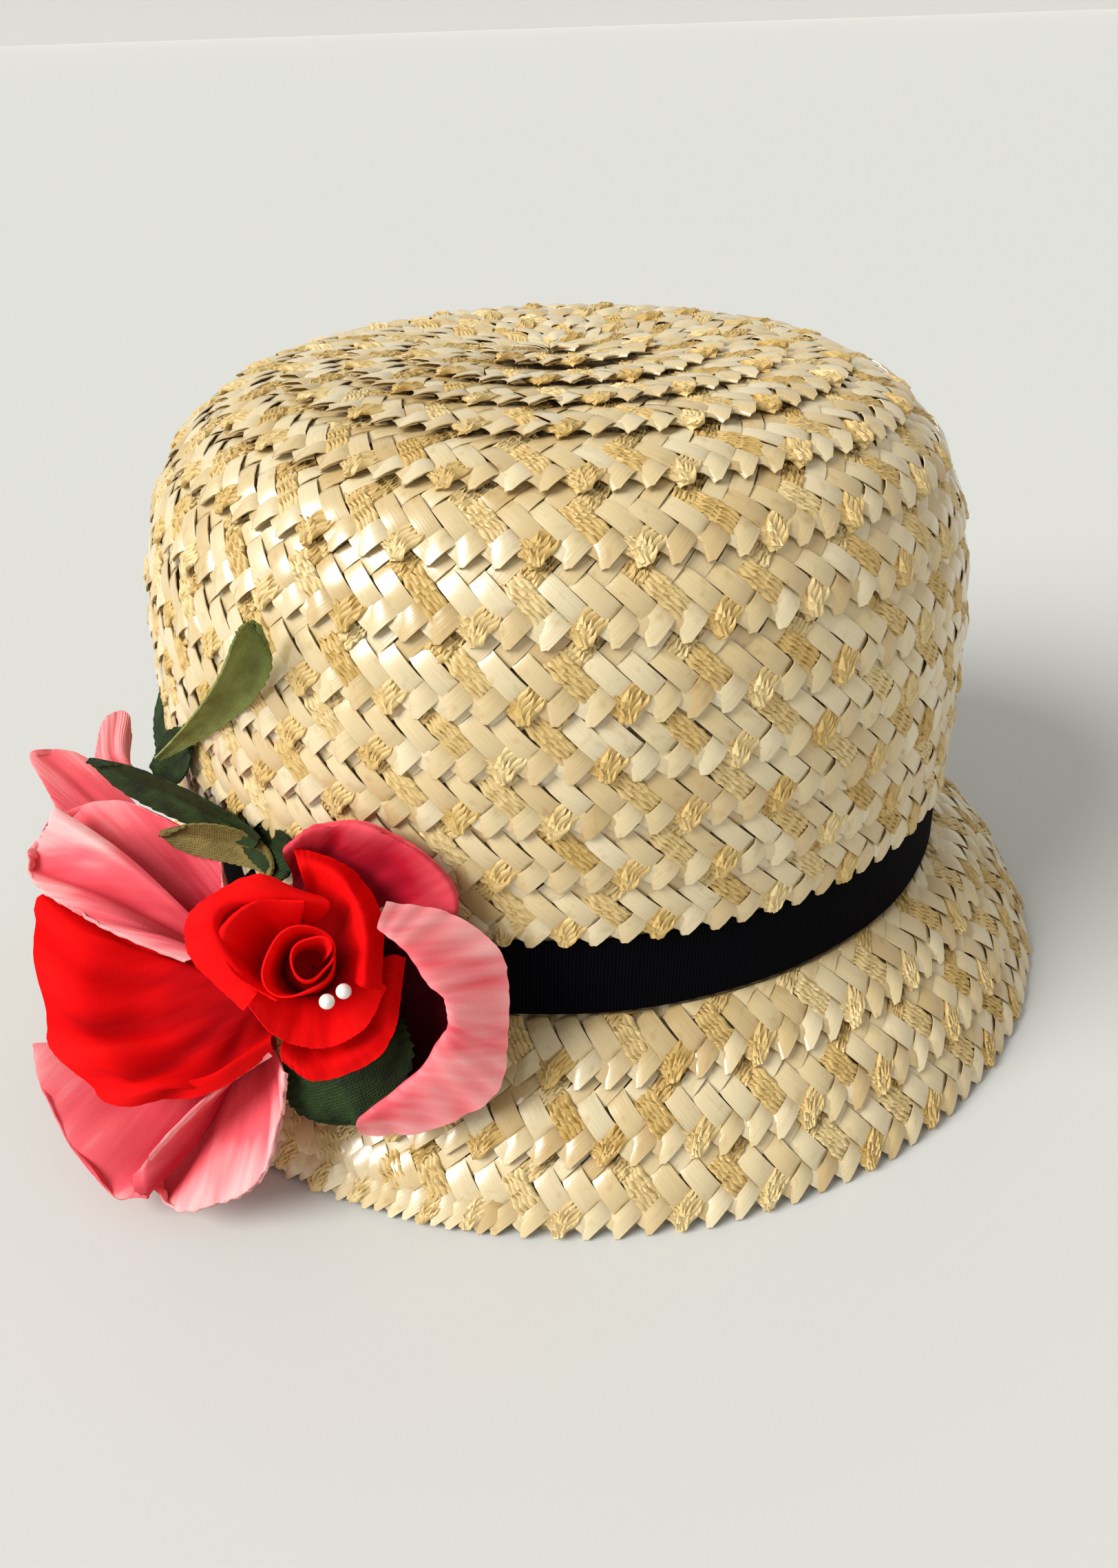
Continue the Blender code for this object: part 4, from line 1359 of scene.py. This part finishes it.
def add_stems():
    material = stem_material()
    around = full_turn(STEM_SIDES)
    for name, stem in STEMS.items():
        path = spline(stem.route, STEM_STEPS)
        wrap = (run_length(path)[:, None] / WRAP_PITCH + around[None, :] / (2.0 * math.pi)) % 1.0
        radii = 0.5 * stem.thickness - WRAP_DEPTH * wrap
        form = tube_form(path, radii, STEM_SIDES)
        piece_name = name + "_paper"
        add_piece(piece_name, mesh_of_quads(piece_name, *form), material, [name])


Pin = namedtuple("Pin", "foot bead")
PINS = {
    "pearl_pin_left": Pin((0.2, -5.6, 20.0), (-0.4, -6.6, 25.6)),
    "pearl_pin_right": Pin((3.6, -4.8, 20.5), (2.9, -5.8, 26.4)),
}
PIN_THICKNESS = 0.7
BEAD_DIAMETER = 2.9
PIN_SIDES = 28


def add_pins():
    material = pearl_material()
    rose = ROSES["front_rose"]
    for name, pin in PINS.items():
        foot, bead = in_hat(rose, np.array([pin.foot, pin.bead]))
        reach = np.linalg.norm(bead - foot)
        ball = 0.5 * BEAD_DIAMETER
        tilt = np.linspace(0.2, math.pi - 0.02, 20)
        levels = np.concatenate([[0.0, 0.5 * reach, reach - ball - 0.35, reach - ball - 0.1],
                                 reach - ball * np.cos(tilt)])
        radii = np.concatenate([[0.5 * PIN_THICKNESS] * 3, [0.62], ball * np.sin(tilt)])
        path = foot + (bead - foot)[None, :] * (levels / reach)[:, None]
        form = tube_form(path, radii[:, None], PIN_SIDES)
        piece_name = name + "_bead"
        add_piece(piece_name, mesh_of_quads(piece_name, *form), material, [name])


# Floor, light and camera

CAMERA_PLACE = (-0.0026, -0.2618, 0.2016)
CAMERA_PITCH = 0.5738
CAMERA_ROLL = -0.0336
CAMERA_LENS = 27.05


FLOOR_HALF_SIZE = 60.0


def add_floor():
    """Pale floor with a pale wall far behind it."""
    size = FLOOR_HALF_SIZE
    mesh = bpy.data.meshes.new("floor")
    corners = [(-size, -size, 0.0), (size, -size, 0.0), (size, size, 0.0), (-size, size, 0.0)]
    wall_top = [(size, size, size), (-size, size, size)]
    mesh.from_pydata(corners + wall_top, [], [(0, 1, 2, 3), (3, 2, 4, 5)])
    floor = bpy.data.objects.new("floor", mesh)
    bpy.context.scene.collection.objects.link(floor)
    mesh.materials.append(new_material("floor_paint", (0.67, 0.68, 0.655), 0.6))


def add_sun(name, place, spread, power, colour):
    """Soft even light from a direction; spread is its width in degrees."""
    light = bpy.data.lights.new(name, "SUN")
    light.angle = math.radians(spread)
    light.energy = power
    light.color = colour
    lamp = bpy.data.objects.new(name, light)
    lamp.rotation_euler = Vector(place).to_track_quat("Z", "Y").to_euler()
    bpy.context.scene.collection.objects.link(lamp)


def add_lights():
    add_sun("window", (-0.85, -0.40, 0.70), 34.0, 3.5, (1.0, 0.99, 0.97))
    add_sun("fill", (0.55, -0.75, 0.6), 50.0, 0.16, (1.0, 0.80, 0.50))
    world = bpy.data.worlds.new("studio")
    world.use_nodes = True
    sky = world.node_tree.nodes["Background"]
    sky.inputs["Color"].default_value = (0.99, 0.98, 0.97, 1.0)
    sky.inputs["Strength"].default_value = 0.44
    bpy.context.scene.world = world
    bpy.context.scene.view_settings.view_transform = "Standard"


def add_camera():
    """Camera fitted to the outlines of crown and brim in the photograph."""
    ahead = Vector((0.0, math.cos(CAMERA_PITCH), -math.sin(CAMERA_PITCH)))
    upright = Vector((0.0, math.sin(CAMERA_PITCH), math.cos(CAMERA_PITCH)))
    level = Vector((1.0, 0.0, 0.0))
    right = math.cos(CAMERA_ROLL) * level + math.sin(CAMERA_ROLL) * upright
    up = -math.sin(CAMERA_ROLL) * level + math.cos(CAMERA_ROLL) * upright
    data = bpy.data.cameras.new("camera")
    data.lens = CAMERA_LENS
    data.clip_start = 0.01
    camera = bpy.data.objects.new("camera", data)
    turn = Matrix((right, up, -ahead)).transposed().to_4x4()
    turn.translation = Vector(CAMERA_PLACE)
    camera.matrix_world = turn
    bpy.context.scene.collection.objects.link(camera)
    bpy.context.scene.camera = camera


add_camera()
add_lights()
add_floor()
add_braid()
add_shells()
add_ribbon()
add_roses()
add_leaves()
add_stems()
add_pins()
